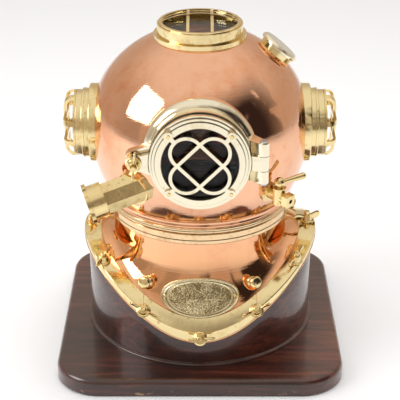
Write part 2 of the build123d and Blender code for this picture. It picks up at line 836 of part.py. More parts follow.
# Door seat: a cast ring fitted to the dome, with the hinge knuckles and the latch lug
seat_root_distance = bonnet_radius_at(door_height + seat_bell_radius) - foot_bead_radius
ear_back_distance = seat_face_distance - latch_ear_thickness
knuckle_start = hinge_tongue_half_height + joint_gap
latch_root_x = -(door_opening_radius + latch_ear_thickness / 2)
with BuildPart() as door_seat:
    with BuildSketch(radial_plane(front_seat)):
        with BuildLine():
            Polyline(
                (seat_outer_radius, ear_back_distance),
                (seat_outer_radius, seat_face_distance),
                (door_opening_radius, seat_face_distance),
                (door_opening_radius, seat_root_distance),
                (seat_bell_radius, seat_root_distance),
                (seat_bell_radius, seat_bell_distance),
            )
            RadiusArc(
                (seat_bell_radius, seat_bell_distance),
                (seat_outer_radius, ear_back_distance),
                -latch_ear_thickness,
            )
        make_face()
    revolve(axis=axis_of(front_seat))
    with BuildSketch(front_seat.offset(ear_back_distance)):
        with Locations((latch_x, 0)):
            Circle(latch_lug_radius)
        with Locations((latch_root_x, 0)):
            Rectangle(latch_ear_thickness, 2 * latch_lug_root)
        make_hull()
        Circle(seat_outer_radius)
    extrude(amount=latch_ear_thickness)
    for side in (-1, 1):
        with BuildSketch(Plane.XY.offset(door_height + side * knuckle_start)):
            with Locations((hinge_pin_x, -hinge_pin_distance)):
                Circle(hinge_knuckle_radius)
            with Locations((hinge_arm_root_x, -ear_back_distance)):
                Rectangle(latch_ear_thickness, latch_ear_thickness)
            make_hull()
        extrude(amount=side * hinge_knuckle_length)
    with BuildSketch(Plane.XY.offset(door_height)):
        with Locations((hinge_pin_x, -hinge_pin_distance)):
            Circle(hinge_pin_radius)
    extrude(amount=overrun + hinge_knuckle_length, both=True, mode=Mode.SUBTRACT)
    with BuildSketch(front_seat):
        Circle(door_opening_radius)
        with Locations((latch_x - latch_lug_radius, 0)):
            Rectangle(
                2 * (latch_lug_radius + latch_eye_radius + joint_gap),
                2 * (latch_eye_half_width + joint_gap),
            )
    extrude(amount=seat_face_distance + overrun, mode=Mode.SUBTRACT)
    with BuildSketch(Plane.XY.offset(door_height)):
        with Locations((latch_x, -latch_pin_distance)):
            Circle(latch_pin_radius + joint_gap)
        with Locations((latch_x, -latch_pin_distance - overrun / 2)):
            Rectangle(2 * (latch_pin_radius + joint_gap), overrun)
    extrude(amount=latch_pin_half_length + joint_gap, both=True, mode=Mode.SUBTRACT)
    add(bonnet_form.part, mode=Mode.SUBTRACT)
door_seat.part.label = "door_seat"
export_step(door_seat.part, "parts/door_seat.step")

with BuildPart() as hinge_pin:
    pin_half_length = knuckle_start + hinge_knuckle_length
    with BuildSketch(Plane.XY.offset(door_height)):
        with Locations((hinge_pin_x, -hinge_pin_distance)):
            Circle(hinge_pin_radius)
    extrude(amount=pin_half_length, both=True)
    for side in (-1, 1):
        with BuildSketch(Plane.XY.offset(door_height + side * pin_half_length)):
            with Locations((hinge_pin_x, -hinge_pin_distance)):
                Circle(hinge_pin_head_radius)
        extrude(amount=side * hinge_pin_head_height)
hinge_pin.part.label = "hinge_pin"
export_step(hinge_pin.part, "parts/hinge_pin.step")

# Front door: a cast ring with its hinge tongue, its slotted latch ear and its glass
glass_back_distance = door_back_distance + door_glass_ring_thickness
glass_front_distance = glass_back_distance + door_glass_thickness
tongue_root_x = door_face_radius + door_flange_thickness / 2 + running_gap
with BuildPart() as door_frame:
    with BuildSketch(radial_plane(front_seat)):
        with BuildLine():
            Polyline(
                (door_opening_radius, door_back_distance),
                (door_radius, door_back_distance),
                (door_radius, door_flange_distance),
                (door_face_radius, door_flange_distance),
                (door_face_radius, door_face_distance),
                (door_lip_radius, door_face_distance),
                (door_lip_radius, door_lip_distance),
                (door_opening_radius, door_lip_distance),
                close=True,
            )
        make_face()
    revolve(axis=axis_of(front_seat))
    with BuildSketch(front_seat.offset(door_back_distance)):
        with Locations((latch_x, 0)):
            Circle(latch_ear_radius)
        with Locations((latch_root_x, 0)):
            Rectangle(latch_ear_thickness, 2 * latch_ear_root)
        make_hull()
        Circle(door_radius)
        Circle(door_opening_radius, mode=Mode.SUBTRACT)
        with Locations((latch_x, 0)):
            Circle(latch_bolt_radius + joint_gap, mode=Mode.SUBTRACT)
        with Locations((latch_x - latch_ear_radius, 0)):
            Rectangle(2 * latch_ear_radius, 2 * (latch_bolt_radius + joint_gap), mode=Mode.SUBTRACT)
    extrude(amount=door_flange_thickness)
    with BuildSketch(Plane.XY.offset(door_height)):
        with Locations((hinge_pin_x, -hinge_pin_distance)):
            Circle(hinge_knuckle_radius)
        with Locations((tongue_root_x, -(door_back_distance + door_flange_distance) / 2)):
            Rectangle(door_flange_thickness, door_flange_thickness)
        make_hull()
        with Locations((hinge_pin_x, -hinge_pin_distance)):
            Circle(hinge_pin_radius + running_gap, mode=Mode.SUBTRACT)
    extrude(amount=hinge_tongue_half_height, both=True)
    with BuildSketch(front_seat.offset(door_back_distance)):
        Circle(door_glass_radius)
    extrude(amount=glass_front_distance - door_back_distance, mode=Mode.SUBTRACT)
door_frame.part.label = "door_frame"
export_step(door_frame.part, "parts/door_frame.step")

for name, distance, thickness, radius, bore in (
    (
        "door_gasket",
        seat_face_distance + running_gap,
        door_gasket_thickness,
        door_face_radius,
        door_glass_radius,
    ),
    (
        "door_glass_ring",
        door_back_distance,
        door_glass_ring_thickness,
        door_glass_radius,
        door_opening_radius,
    ),
    ("door_glass", glass_back_distance, door_glass_thickness, door_glass_radius, 0),
):
    with BuildPart() as disc:
        with BuildSketch(front_seat.offset(distance)):
            Circle(radius)
            if bore:
                Circle(bore, mode=Mode.SUBTRACT)
        extrude(amount=thickness)
    disc.part.label = name
    export_step(disc.part, f"parts/{name}.step")

# Door guard: two long loops crossed over the glass, held by four screwed lugs
with BuildPart() as door_guard:
    for turn in (guard_turn, -guard_turn):
        with BuildSketch(front_seat.offset(door_lip_distance)):
            SlotOverall(
                2 * door_guard_reach + door_guard_bar, 2 * door_guard_offset + door_guard_bar, rotation=turn
            )
            SlotOverall(
                2 * door_guard_reach - door_guard_bar,
                2 * door_guard_offset - door_guard_bar,
                rotation=turn,
                mode=Mode.SUBTRACT,
            )
        extrude(amount=door_guard_thickness)
    lug_length = door_guard_screw_radius - door_guard_reach
    for foot, height in ((door_lip_distance, door_guard_thickness), (door_face_distance, door_lip_rise)):
        with BuildSketch(front_seat.offset(foot)):
            with PolarLocations(
                door_guard_screw_radius - lug_length / 2, guard_lug_count, start_angle=guard_turn
            ):
                Rectangle(lug_length, door_guard_lug_width / 2)
            with PolarLocations(
                door_guard_screw_radius - guard_screw_radius, guard_lug_count, start_angle=guard_turn
            ):
                Circle(door_guard_lug_width / 2)
            if foot == door_face_distance:
                Circle(door_lip_radius, mode=Mode.SUBTRACT)
                Circle(door_face_radius, mode=Mode.INTERSECT)
        extrude(amount=height)
door_guard.part.label = "door_guard"
export_step(door_guard.part, "parts/door_guard.step")

guard_face_distance = door_lip_distance + door_guard_thickness
with BuildPart() as door_guard_screws:
    with BuildSketch(front_seat.offset(guard_face_distance)):
        with PolarLocations(
            door_guard_screw_radius - guard_screw_radius, guard_lug_count, start_angle=guard_turn
        ):
            Circle(guard_screw_radius)
    extrude(amount=guard_screw_head)
door_guard_screws.part.label = "door_guard_screws"
export_step(door_guard_screws.part, "parts/door_guard_screws.step")

# Door latch: a swing bolt on its pin, and the wing nut that pulls the door shut
with BuildPart() as latch_bolt:
    with BuildSketch(Plane.XY.offset(door_height)):
        with Locations((latch_x, -latch_pin_distance)):
            Circle(latch_eye_radius)
            Circle(latch_pin_radius, mode=Mode.SUBTRACT)
    extrude(amount=latch_eye_half_width, both=True)
    with BuildSketch(front_seat.offset(latch_pin_distance + latch_pin_radius)):
        with Locations((latch_x, 0)):
            Circle(latch_bolt_radius)
    extrude(amount=latch_bolt_end_distance - latch_pin_distance - latch_pin_radius)
latch_bolt.part.label = "latch_bolt"
export_step(latch_bolt.part, "parts/latch_bolt.step")

with BuildPart() as latch_pin:
    with BuildSketch(Plane.XY.offset(door_height)):
        with Locations((latch_x, -latch_pin_distance)):
            Circle(latch_pin_radius)
    extrude(amount=latch_pin_half_length, both=True)
latch_pin.part.label = "latch_pin"
export_step(latch_pin.part, "parts/latch_pin.step")

latch_nut_plane = Plane(
    origin=(latch_x, -door_flange_distance - latch_nut_gap, door_height), x_dir=(1, 0, 0), z_dir=(0, -1, 0)
)
with BuildPart() as latch_wing_nut:
    with Locations(latch_nut_plane.location * Rotation(0, 0, latch_nut_turn)):
        add(wing_nut_form.part)
latch_wing_nut.part.label = "latch_wing_nut"
export_step(latch_wing_nut.part, "parts/latch_wing_nut.step")

# Side windows: a seat on the dome, then gasket, glass, screwed ring and bulging guard
side_gasket_distance = side_boss_distance + side_gasket_thickness
side_glass_distance = side_gasket_distance + side_glass_thickness
side_guard_face = side_ring_distance + side_guard_rise
guard_corner = (side_ring_radius - side_guard_corner, side_guard_face - side_guard_corner)
side_root_distance = bonnet_radius_at(side_window_height + side_flange_radius) - foot_bead_radius
side_root_distance = side_root_distance * cos(asin(side_flange_radius / bonnet_radius))
for side, hand in ((-1, "right"), (1, "left")):
    seat = side_seat(side)
    with BuildPart() as window_seat:
        with BuildSketch(radial_plane(seat)):
            with BuildLine():
                Polyline(
                    (side_opening_radius, side_root_distance),
                    (side_flange_radius, side_root_distance),
                    (side_flange_radius, side_flange_distance),
                    (side_boss_radius, side_flange_distance),
                    (side_boss_radius, side_boss_distance),
                    (side_opening_radius, side_boss_distance),
                    close=True,
                )
            make_face()
        revolve(axis=axis_of(seat))
        flange_edges = window_seat.edges().filter_by(GeomType.CIRCLE).group_by(SortBy.RADIUS)[-1]
        fillet(flange_edges.sort_by(axis_of(seat))[-1], foot_bead_radius / 2)
        add(bonnet_form.part, mode=Mode.SUBTRACT)
    window_seat.part.label = f"{hand}_window_seat"
    export_step(window_seat.part, f"parts/{hand}_window_seat.step")

    with BuildPart() as window_ring:
        with BuildSketch(radial_plane(seat)):
            with BuildLine():
                Polyline(
                    (side_glass_radius, side_boss_distance),
                    (side_ring_radius + copper_wall, side_boss_distance),
                    (side_ring_radius + copper_wall, side_gasket_distance + copper_wall),
                    (side_ring_radius, side_gasket_distance + copper_wall),
                    (side_ring_radius, side_ring_distance),
                    (side_ring_radius - side_ring_lip - copper_wall, side_ring_distance),
                    (side_ring_radius - side_ring_lip - copper_wall, side_glass_distance),
                    (side_glass_radius, side_glass_distance),
                    close=True,
                )
            make_face()
        revolve(axis=axis_of(seat))
    window_ring.part.label = f"{hand}_window_ring"
    export_step(window_ring.part, f"parts/{hand}_window_ring.step")

    for name, distance, thickness, bore in (
        ("gasket", side_boss_distance, side_gasket_thickness, side_opening_radius),
        ("glass", side_gasket_distance, side_glass_thickness, 0),
    ):
        with BuildPart() as disc:
            with BuildSketch(seat.offset(distance)):
                Circle(side_glass_radius)
                if bore:
                    Circle(bore, mode=Mode.SUBTRACT)
            extrude(amount=thickness)
        disc.part.label = f"{hand}_window_{name}"
        export_step(disc.part, f"parts/{hand}_window_{name}.step")

    with BuildPart() as window_guard:
        with BuildSketch(seat.offset(side_ring_distance)):
            with GridLocations(2 * side_guard_spacing, 0, 2, 1):
                Rectangle(side_guard_bar, 2 * side_ring_radius)
            with GridLocations(0, 2 * side_guard_spacing, 1, 2):
                Rectangle(2 * side_ring_radius, side_guard_bar)
        extrude(amount=side_guard_rise)
        with BuildSketch(radial_plane(seat)):
            with BuildLine():
                CenterArc(guard_corner, side_guard_corner, 0, quarter_turn)
                Polyline(
                    (guard_corner[0], side_guard_face),
                    (0, side_guard_face),
                    (0, side_ring_distance),
                    (side_ring_radius, side_ring_distance),
                    (side_ring_radius, guard_corner[1]),
                )
            make_face()
        revolve(axis=axis_of(seat), mode=Mode.INTERSECT)
        with BuildSketch(radial_plane(seat)):
            with BuildLine():
                CenterArc(guard_corner, side_guard_corner - side_guard_thickness, 0, quarter_turn)
                Polyline(
                    (guard_corner[0], side_guard_face - side_guard_thickness),
                    (0, side_guard_face - side_guard_thickness),
                    (0, side_ring_distance - side_guard_thickness),
                    (side_ring_radius - side_guard_thickness, side_ring_distance - side_guard_thickness),
                    (side_ring_radius - side_guard_thickness, guard_corner[1]),
                )
            make_face()
        revolve(axis=axis_of(seat), mode=Mode.SUBTRACT)
        with BuildSketch(seat.offset(side_ring_distance)):
            Circle(side_ring_radius)
            Circle(side_ring_radius - side_guard_thickness - copper_wall, mode=Mode.SUBTRACT)
        extrude(amount=side_guard_base)
    window_guard.part.label = f"{hand}_window_guard"
    export_step(window_guard.part, f"parts/{hand}_window_guard.step")

# Crown window: the same stack, with arched bars over the glass
crown_root_height = bonnet_form.part.bounding_box().max.Z - crown_rise * (
    1 - sqrt(1 - (crown_flange_radius / bonnet_radius) ** 2)
)
crown_glass_bottom = crown_flange_height + crown_gasket_thickness
crown_glass_top = crown_glass_bottom + crown_glass_thickness
with BuildPart() as crown_window_seat:
    with BuildSketch(Plane.XY.offset(crown_root_height - foot_bead_radius)):
        Circle(crown_flange_radius)
        Circle(crown_opening_radius, mode=Mode.SUBTRACT)
    extrude(amount=crown_flange_height - crown_root_height + foot_bead_radius)
    fillet(crown_window_seat.edges().filter_by(GeomType.CIRCLE).group_by(Axis.Z)[-1][-1], copper_wall)
    add(bonnet_form.part, mode=Mode.SUBTRACT)
crown_window_seat.part.label = "crown_window_seat"
export_step(crown_window_seat.part, "parts/crown_window_seat.step")

with BuildPart() as crown_window_ring:
    with BuildSketch(Plane.XZ):
        with BuildLine():
            Polyline(
                (crown_glass_radius, crown_flange_height),
                (crown_ring_radius, crown_flange_height),
                (crown_ring_radius, crown_face_height),
                (crown_opening_radius, crown_face_height),
                (crown_opening_radius, crown_glass_top),
                (crown_glass_radius, crown_glass_top),
                close=True,
            )
        make_face()
    revolve(axis=Axis.Z)
crown_window_ring.part.label = "crown_window_ring"
export_step(crown_window_ring.part, "parts/crown_window_ring.step")

for name, height, thickness, bore in (
    ("crown_window_gasket", crown_flange_height, crown_gasket_thickness, crown_opening_radius),
    ("crown_window_glass", crown_glass_bottom, crown_glass_thickness, 0),
):
    with BuildPart() as disc:
        with BuildSketch(Plane.XY.offset(height)):
            Circle(crown_glass_radius)
            if bore:
                Circle(bore, mode=Mode.SUBTRACT)
        extrude(amount=thickness)
    disc.part.label = name
    export_step(disc.part, f"parts/{name}.step")

guard_chord = crown_ring_radius - crown_ring_lip
with BuildPart() as crown_window_guard:
    for plane, offsets, width, depth in (
        (Plane.YZ, (-crown_bar_offset, crown_bar_offset), crown_bar_width, crown_bar_depth),
        (Plane.XZ, (0,), crown_strap_width, crown_strap_depth),
    ):
        for offset in offsets:
            chord = sqrt(guard_chord**2 - offset**2)
            with BuildSketch(plane.offset(offset)):
                with BuildLine():
                    ThreePointArc(
                        (-chord, crown_face_height),
                        (0, crown_face_height + crown_guard_rise + depth / 2),
                        (chord, crown_face_height),
                    )
                    ThreePointArc(
                        (chord, crown_face_height),
                        (0, crown_face_height + crown_guard_rise - depth / 2),
                        (-chord, crown_face_height),
                    )
                make_face()
            extrude(amount=width / 2, both=True)
    with BuildSketch(Plane.XY.offset(crown_face_height)):
        Circle(crown_ring_radius - copper_wall)
        Circle(crown_opening_radius + copper_wall / 2, mode=Mode.SUBTRACT)
    extrude(amount=crown_guard_plate)
crown_window_guard.part.label = "crown_window_guard"
export_step(crown_window_guard.part, "parts/crown_window_guard.step")

# Telephone cup: a soldered brass ring closed by a screwed round cap
with BuildPart() as telephone_cup:
    with BuildSketch(cup_seat.offset(-cup_root)):
        Circle(cup_radius)
        Circle(cup_wire_radius, mode=Mode.SUBTRACT)
    extrude(amount=cup_root + cup_height)
    with BuildSketch(cup_seat.offset(cup_height)):
        Circle(cup_bore_radius)
    extrude(amount=-cup_bore_depth / 2, mode=Mode.SUBTRACT)
    add(bonnet_form.part, mode=Mode.SUBTRACT)
telephone_cup.part.label = "telephone_cup"
export_step(telephone_cup.part, "parts/telephone_cup.step")

with BuildPart() as telephone_cup_cap:
    with BuildSketch(cup_seat.offset(cup_height)):
        Circle(cup_cap_radius)
    extrude(amount=cup_cap_thickness)
    cap_edges = telephone_cup_cap.edges().filter_by(GeomType.CIRCLE)
    chamfer(cap_edges.sort_by(axis_of(cup_seat))[-1], cup_cap_bevel)
telephone_cup_cap.part.label = "telephone_cup_cap"
export_step(telephone_cup_cap.part, "parts/telephone_cup_cap.step")

# Exhaust valve: a barrel on the dome, a spring-loaded disc with a chin button, and a turning cap
cap_start = exhaust_barrel_length - exhaust_cap_lap
cap_end = cap_start + exhaust_cap_length
barrel_bore_radius = exhaust_barrel_radius - exhaust_barrel_wall
with BuildPart() as exhaust_body:
    with BuildSketch(exhaust_base.offset(-exhaust_base_root)):
        Circle(exhaust_base_radius)
    extrude(amount=exhaust_base_root + exhaust_base_thickness)
    with BuildSketch(exhaust_seat.offset(-exhaust_root)):
        Circle(exhaust_barrel_radius)
    extrude(amount=exhaust_root + exhaust_barrel_length)
    with BuildSketch(exhaust_seat.offset(-exhaust_root)):
        RegularPolygon(exhaust_facet_radius, exhaust_barrel_sides)
    extrude(amount=exhaust_root + cap_start - joint_gap)
    with BuildSketch(exhaust_seat.offset(exhaust_seat_distance)):
        Circle(barrel_bore_radius)
    extrude(amount=exhaust_barrel_length, mode=Mode.SUBTRACT)
    with BuildSketch(exhaust_seat.offset(-exhaust_root)):
        Circle(exhaust_port_radius)
    extrude(amount=exhaust_root + exhaust_barrel_length, mode=Mode.SUBTRACT)
    add(bonnet_form.part, mode=Mode.SUBTRACT)
exhaust_body.part.label = "exhaust_body"
export_step(exhaust_body.part, "parts/exhaust_body.step")

with BuildPart() as exhaust_cap:
    with BuildSketch(exhaust_seat.offset(cap_start)):
        RegularPolygon(exhaust_cap_radius, exhaust_cap_sides)
    extrude(amount=exhaust_cap_length)
    with BuildSketch(exhaust_seat.offset(cap_end - exhaust_wheel_thickness)):
        Circle(exhaust_wheel_radius)
        with PolarLocations(
            exhaust_wheel_radius + exhaust_notch_radius - exhaust_notch_depth, exhaust_wheel_lobes
        ):
            Circle(exhaust_notch_radius, mode=Mode.SUBTRACT)
    extrude(amount=exhaust_wheel_thickness)
    with BuildSketch(exhaust_seat.offset(cap_end - exhaust_plug_groove)):
        Circle(exhaust_plug_radius + exhaust_plug_groove)
        Circle(exhaust_plug_radius, mode=Mode.SUBTRACT)
    extrude(amount=exhaust_plug_groove, mode=Mode.SUBTRACT)
    with BuildSketch(exhaust_seat.offset(cap_start)):
        Circle(exhaust_barrel_radius + running_gap)
    extrude(amount=exhaust_cap_lap + running_gap, mode=Mode.SUBTRACT)
    with BuildSketch(exhaust_seat.offset(exhaust_barrel_length)):
        Circle(barrel_bore_radius)
    extrude(amount=cap_end - exhaust_barrel_length - exhaust_cap_wall, mode=Mode.SUBTRACT)
exhaust_cap.part.label = "exhaust_cap"
export_step(exhaust_cap.part, "parts/exhaust_cap.step")

disc_distance = exhaust_seat_distance + running_gap
stem_end = disc_distance + exhaust_disc_thickness + exhaust_guide_length
with BuildPart() as exhaust_disc:
    with BuildSketch(exhaust_seat.offset(disc_distance)):
        Circle(exhaust_disc_radius)
    extrude(amount=exhaust_disc_thickness)
    with BuildSketch(exhaust_seat.offset(-exhaust_stem_reach)):
        Circle(exhaust_stem_radius)
    extrude(amount=exhaust_stem_reach + stem_end)
    with BuildSketch(exhaust_seat.offset(-exhaust_stem_reach)):
        Circle(exhaust_button_radius)
    extrude(amount=-exhaust_button_thickness)
exhaust_disc.part.label = "exhaust_disc"
export_step(exhaust_disc.part, "parts/exhaust_disc.step")

with BuildPart() as spring_form:
    with BuildLine() as spring_line:
        Helix(exhaust_spring_pitch, exhaust_spring_pitch * exhaust_spring_turns, exhaust_spring_radius)
    with BuildSketch(Plane(origin=spring_line.line @ 0, z_dir=spring_line.line % 0)):
        Circle(exhaust_spring_wire_radius)
    sweep(path=spring_line.line, is_frenet=True)

spring_foot = disc_distance + exhaust_disc_thickness + exhaust_spring_wire_radius
with BuildPart() as exhaust_spring:
    with Locations(exhaust_seat.offset(spring_foot)):
        add(spring_form.part)
exhaust_spring.part.label = "exhaust_spring"
export_step(exhaust_spring.part, "parts/exhaust_spring.step")

# Spitcock: a small tap with an upright taper plug turned by its lever
cock_axis_point = cock_seat.offset(cock_plug_distance).origin
cock_upright = Plane(origin=cock_axis_point, x_dir=(1, 0, 0), z_dir=(0, 0, 1))
with BuildPart() as spitcock_body:
    with BuildSketch(cock_base.offset(-cock_base_root)):
        Circle(cock_base_radius)
    extrude(amount=cock_base_root + cock_base_thickness)
    with BuildSketch(cock_seat.offset(-cock_root)):
        Circle(cock_barrel_radius)
    extrude(amount=cock_root + cock_barrel_length)
    with BuildSketch(cock_seat.offset(cock_barrel_length)):
        RectangleRounded(cock_nozzle_flat, cock_nozzle_flat, copper_wall)
    extrude(amount=cock_nozzle_length)
    with BuildSketch(cock_upright.offset(-cock_housing_foot)):
        Circle(cock_housing_radius)
    extrude(amount=cock_housing_foot + cock_housing_height)
    with BuildSketch(cock_seat.offset(-cock_root)):
        Circle(cock_bore_radius)
    extrude(amount=2 * cock_root + cock_barrel_length + cock_nozzle_length, mode=Mode.SUBTRACT)
    with BuildSketch(cock_upright.offset(-cock_barrel_radius)):
        Circle(cock_plug_radius + running_gap)
    extrude(amount=cock_barrel_radius + 2 * cock_housing_height, mode=Mode.SUBTRACT)
    add(bonnet_form.part, mode=Mode.SUBTRACT)
spitcock_body.part.label = "spitcock_body"
export_step(spitcock_body.part, "parts/spitcock_body.step")

ball_plane = cock_upright.offset(cock_housing_height + cock_ball_rise)
lever_plane = Plane(
    origin=ball_plane.origin,
    x_dir=heading(cock_lever_turn + quarter_turn, 0),
    z_dir=heading(cock_lever_turn, cock_lever_rise),
)
with BuildPart() as spitcock_plug:
    with BuildSketch(cock_upright.offset(running_gap - cock_barrel_radius)):
        Circle(cock_plug_radius)
    extrude(amount=cock_barrel_radius - running_gap + cock_housing_height + cock_ball_rise)
    with Locations(ball_plane):
        Sphere(cock_ball_radius)
    with BuildSketch(cock_upright.offset(cock_housing_height + running_gap)):
        Circle(cock_ball_radius + running_gap)
    extrude(amount=running_gap - cock_ball_radius, mode=Mode.SUBTRACT)
    with BuildSketch(cock_upright.offset(running_gap - cock_barrel_radius)):
        Circle(cock_plug_radius)
    extrude(amount=cock_barrel_radius + cock_housing_height)
    with BuildSketch(cock_seat):
        Circle(cock_bore_radius)
    extrude(amount=cock_plug_distance + cock_barrel_length, mode=Mode.SUBTRACT)
    with BuildSketch(lever_plane.offset(cock_lever_socket)):
        Circle(cock_lever_root_radius + running_gap)
    extrude(amount=cock_ball_radius, mode=Mode.SUBTRACT)
spitcock_plug.part.label = "spitcock_plug"
export_step(spitcock_plug.part, "parts/spitcock_plug.step")

lever_shank_end = cock_ball_radius + running_gap
lever_cone_end = cock_lever_length - cock_lever_tip_radius
with BuildPart() as spitcock_lever:
    with BuildSketch(lever_plane.offset(cock_lever_socket)):
        Circle(cock_lever_root_radius)
    extrude(amount=lever_shank_end - cock_lever_socket)
    with BuildSketch(lever_plane.offset(lever_shank_end)):
        Circle(cock_lever_root_radius)
    with BuildSketch(lever_plane.offset(lever_cone_end)):
        Circle(cock_lever_tip_radius)
    loft()
    with Locations(lever_plane.offset(lever_cone_end)):
        Sphere(cock_lever_tip_radius)
spitcock_lever.part.label = "spitcock_lever"
export_step(spitcock_lever.part, "parts/spitcock_lever.step")


# Air and telephone elbows at the back, with what is screwed on their ends
def elbow_route(seat):
    """The three corners of an elbow: inside the dome, out at the bend, and down at its end."""
    level = Vector(seat.z_dir.X, seat.z_dir.Y, 0).normalized()
    start = seat.origin - level * elbow_root
    corner = seat.origin + level * elbow_reach
    return start, corner, corner - Vector(0, 0, elbow_drop)


elbow_ends = {}
for name, seat in elbow_seats.items():
    route = elbow_route(seat)
    elbow_ends[name] = Plane(origin=route[-1], x_dir=seat.x_dir, z_dir=(0, 0, -1))
    with BuildPart() as elbow:
        with BuildSketch(seat.offset(-elbow_base_root)):
            Circle(elbow_base_radius)
        extrude(amount=elbow_base_root + elbow_base_thickness)
        for radius, mode in ((elbow_tube_radius, Mode.ADD), (elbow_bore_radius, Mode.SUBTRACT)):
            with BuildLine() as run:
                FilletPolyline(*route, radius=elbow_bend_radius)
            with BuildSketch(Plane(origin=run.line @ 0, z_dir=run.line % 0)):
                Circle(radius)
            sweep(path=run.line, mode=mode)
        add(bonnet_form.part, mode=Mode.SUBTRACT)
    elbow.part.label = f"{name}_elbow"
    export_step(elbow.part, f"parts/{name}_elbow.step")

with BuildPart() as air_valve:
    end = elbow_ends["air"]
    with BuildSketch(end):
        RegularPolygon(coupling_hex_flat / 2, 6, major_radius=False)
    extrude(amount=coupling_hex_length)
    with BuildSketch(end.offset(coupling_hex_length)):
        Circle(air_valve_radius)
    extrude(amount=air_valve_length)
    with BuildSketch(end.offset(coupling_hex_length + air_valve_length)):
        Circle(air_thread_radius)
    extrude(amount=air_thread_length)
    with BuildSketch(end):
        Circle(elbow_bore_radius)
    extrude(amount=coupling_hex_length + air_valve_length + air_thread_length, mode=Mode.SUBTRACT)
    with BuildSketch(end.offset(coupling_hex_length)):
        Circle(elbow_tube_radius)
    extrude(amount=2 * air_flap_thickness, mode=Mode.SUBTRACT)
air_valve.part.label = "air_valve"
export_step(air_valve.part, "parts/air_valve.step")

with BuildPart() as air_valve_flap:
    with BuildSketch(elbow_ends["air"].offset(coupling_hex_length + air_flap_thickness)):
        Circle(elbow_tube_radius - running_gap)
    extrude(amount=air_flap_thickness - running_gap)
air_valve_flap.part.label = "air_valve_flap"
export_step(air_valve_flap.part, "parts/air_valve_flap.step")

with BuildPart() as telephone_nut:
    end = elbow_ends["telephone"]
    with BuildSketch(end):
        RegularPolygon(coupling_hex_flat / 2, 6, major_radius=False)
        Circle(elbow_bore_radius, mode=Mode.SUBTRACT)
    extrude(amount=telephone_nut_length)
telephone_nut.part.label = "telephone_nut"
export_step(telephone_nut.part, "parts/telephone_nut.step")

with BuildPart() as telephone_plug:
    with BuildSketch(elbow_ends["telephone"].offset(telephone_nut_length)):
        Circle(telephone_cap_radius)
    extrude(amount=telephone_cap_length)
    fillet(telephone_plug.edges().filter_by(GeomType.CIRCLE).group_by(Axis.Z)[0], telephone_cap_round)
telephone_plug.part.label = "telephone_plug"
export_step(telephone_plug.part, "parts/telephone_plug.step")
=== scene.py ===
import bmesh
import bpy
import numpy as np
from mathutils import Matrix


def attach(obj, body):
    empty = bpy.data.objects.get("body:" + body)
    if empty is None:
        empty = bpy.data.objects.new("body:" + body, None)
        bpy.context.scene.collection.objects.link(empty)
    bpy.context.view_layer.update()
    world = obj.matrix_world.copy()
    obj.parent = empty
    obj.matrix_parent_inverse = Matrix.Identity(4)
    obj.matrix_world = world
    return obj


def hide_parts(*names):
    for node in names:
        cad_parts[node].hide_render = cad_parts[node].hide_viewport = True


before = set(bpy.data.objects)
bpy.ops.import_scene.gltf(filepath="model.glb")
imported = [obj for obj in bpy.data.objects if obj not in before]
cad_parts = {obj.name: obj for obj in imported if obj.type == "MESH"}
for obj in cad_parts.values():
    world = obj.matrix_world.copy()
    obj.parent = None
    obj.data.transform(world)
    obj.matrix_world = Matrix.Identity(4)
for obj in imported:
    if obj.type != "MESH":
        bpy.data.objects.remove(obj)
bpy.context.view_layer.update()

# Camera: straight in front of the helmet and 26 degrees above it, as the photograph was taken.
# The photograph is squeezed upright, so the object fills the frame's height and not its width.
camera_elevation = np.radians(26)
camera_reach = 1.75
frame_height = 0.575
camera_target = np.array([0, 0, 0.204])
camera = bpy.data.objects.new("camera", bpy.data.cameras.new("camera"))
bpy.context.scene.collection.objects.link(camera)
camera_way = np.array([0, -np.cos(camera_elevation), np.sin(camera_elevation)])
camera.location = camera_target + camera_reach * camera_way
camera.rotation_euler = (np.pi / 2 - camera_elevation, 0, 0)
camera.data.lens = camera.data.sensor_width * camera_reach / frame_height
bpy.context.scene.camera = camera


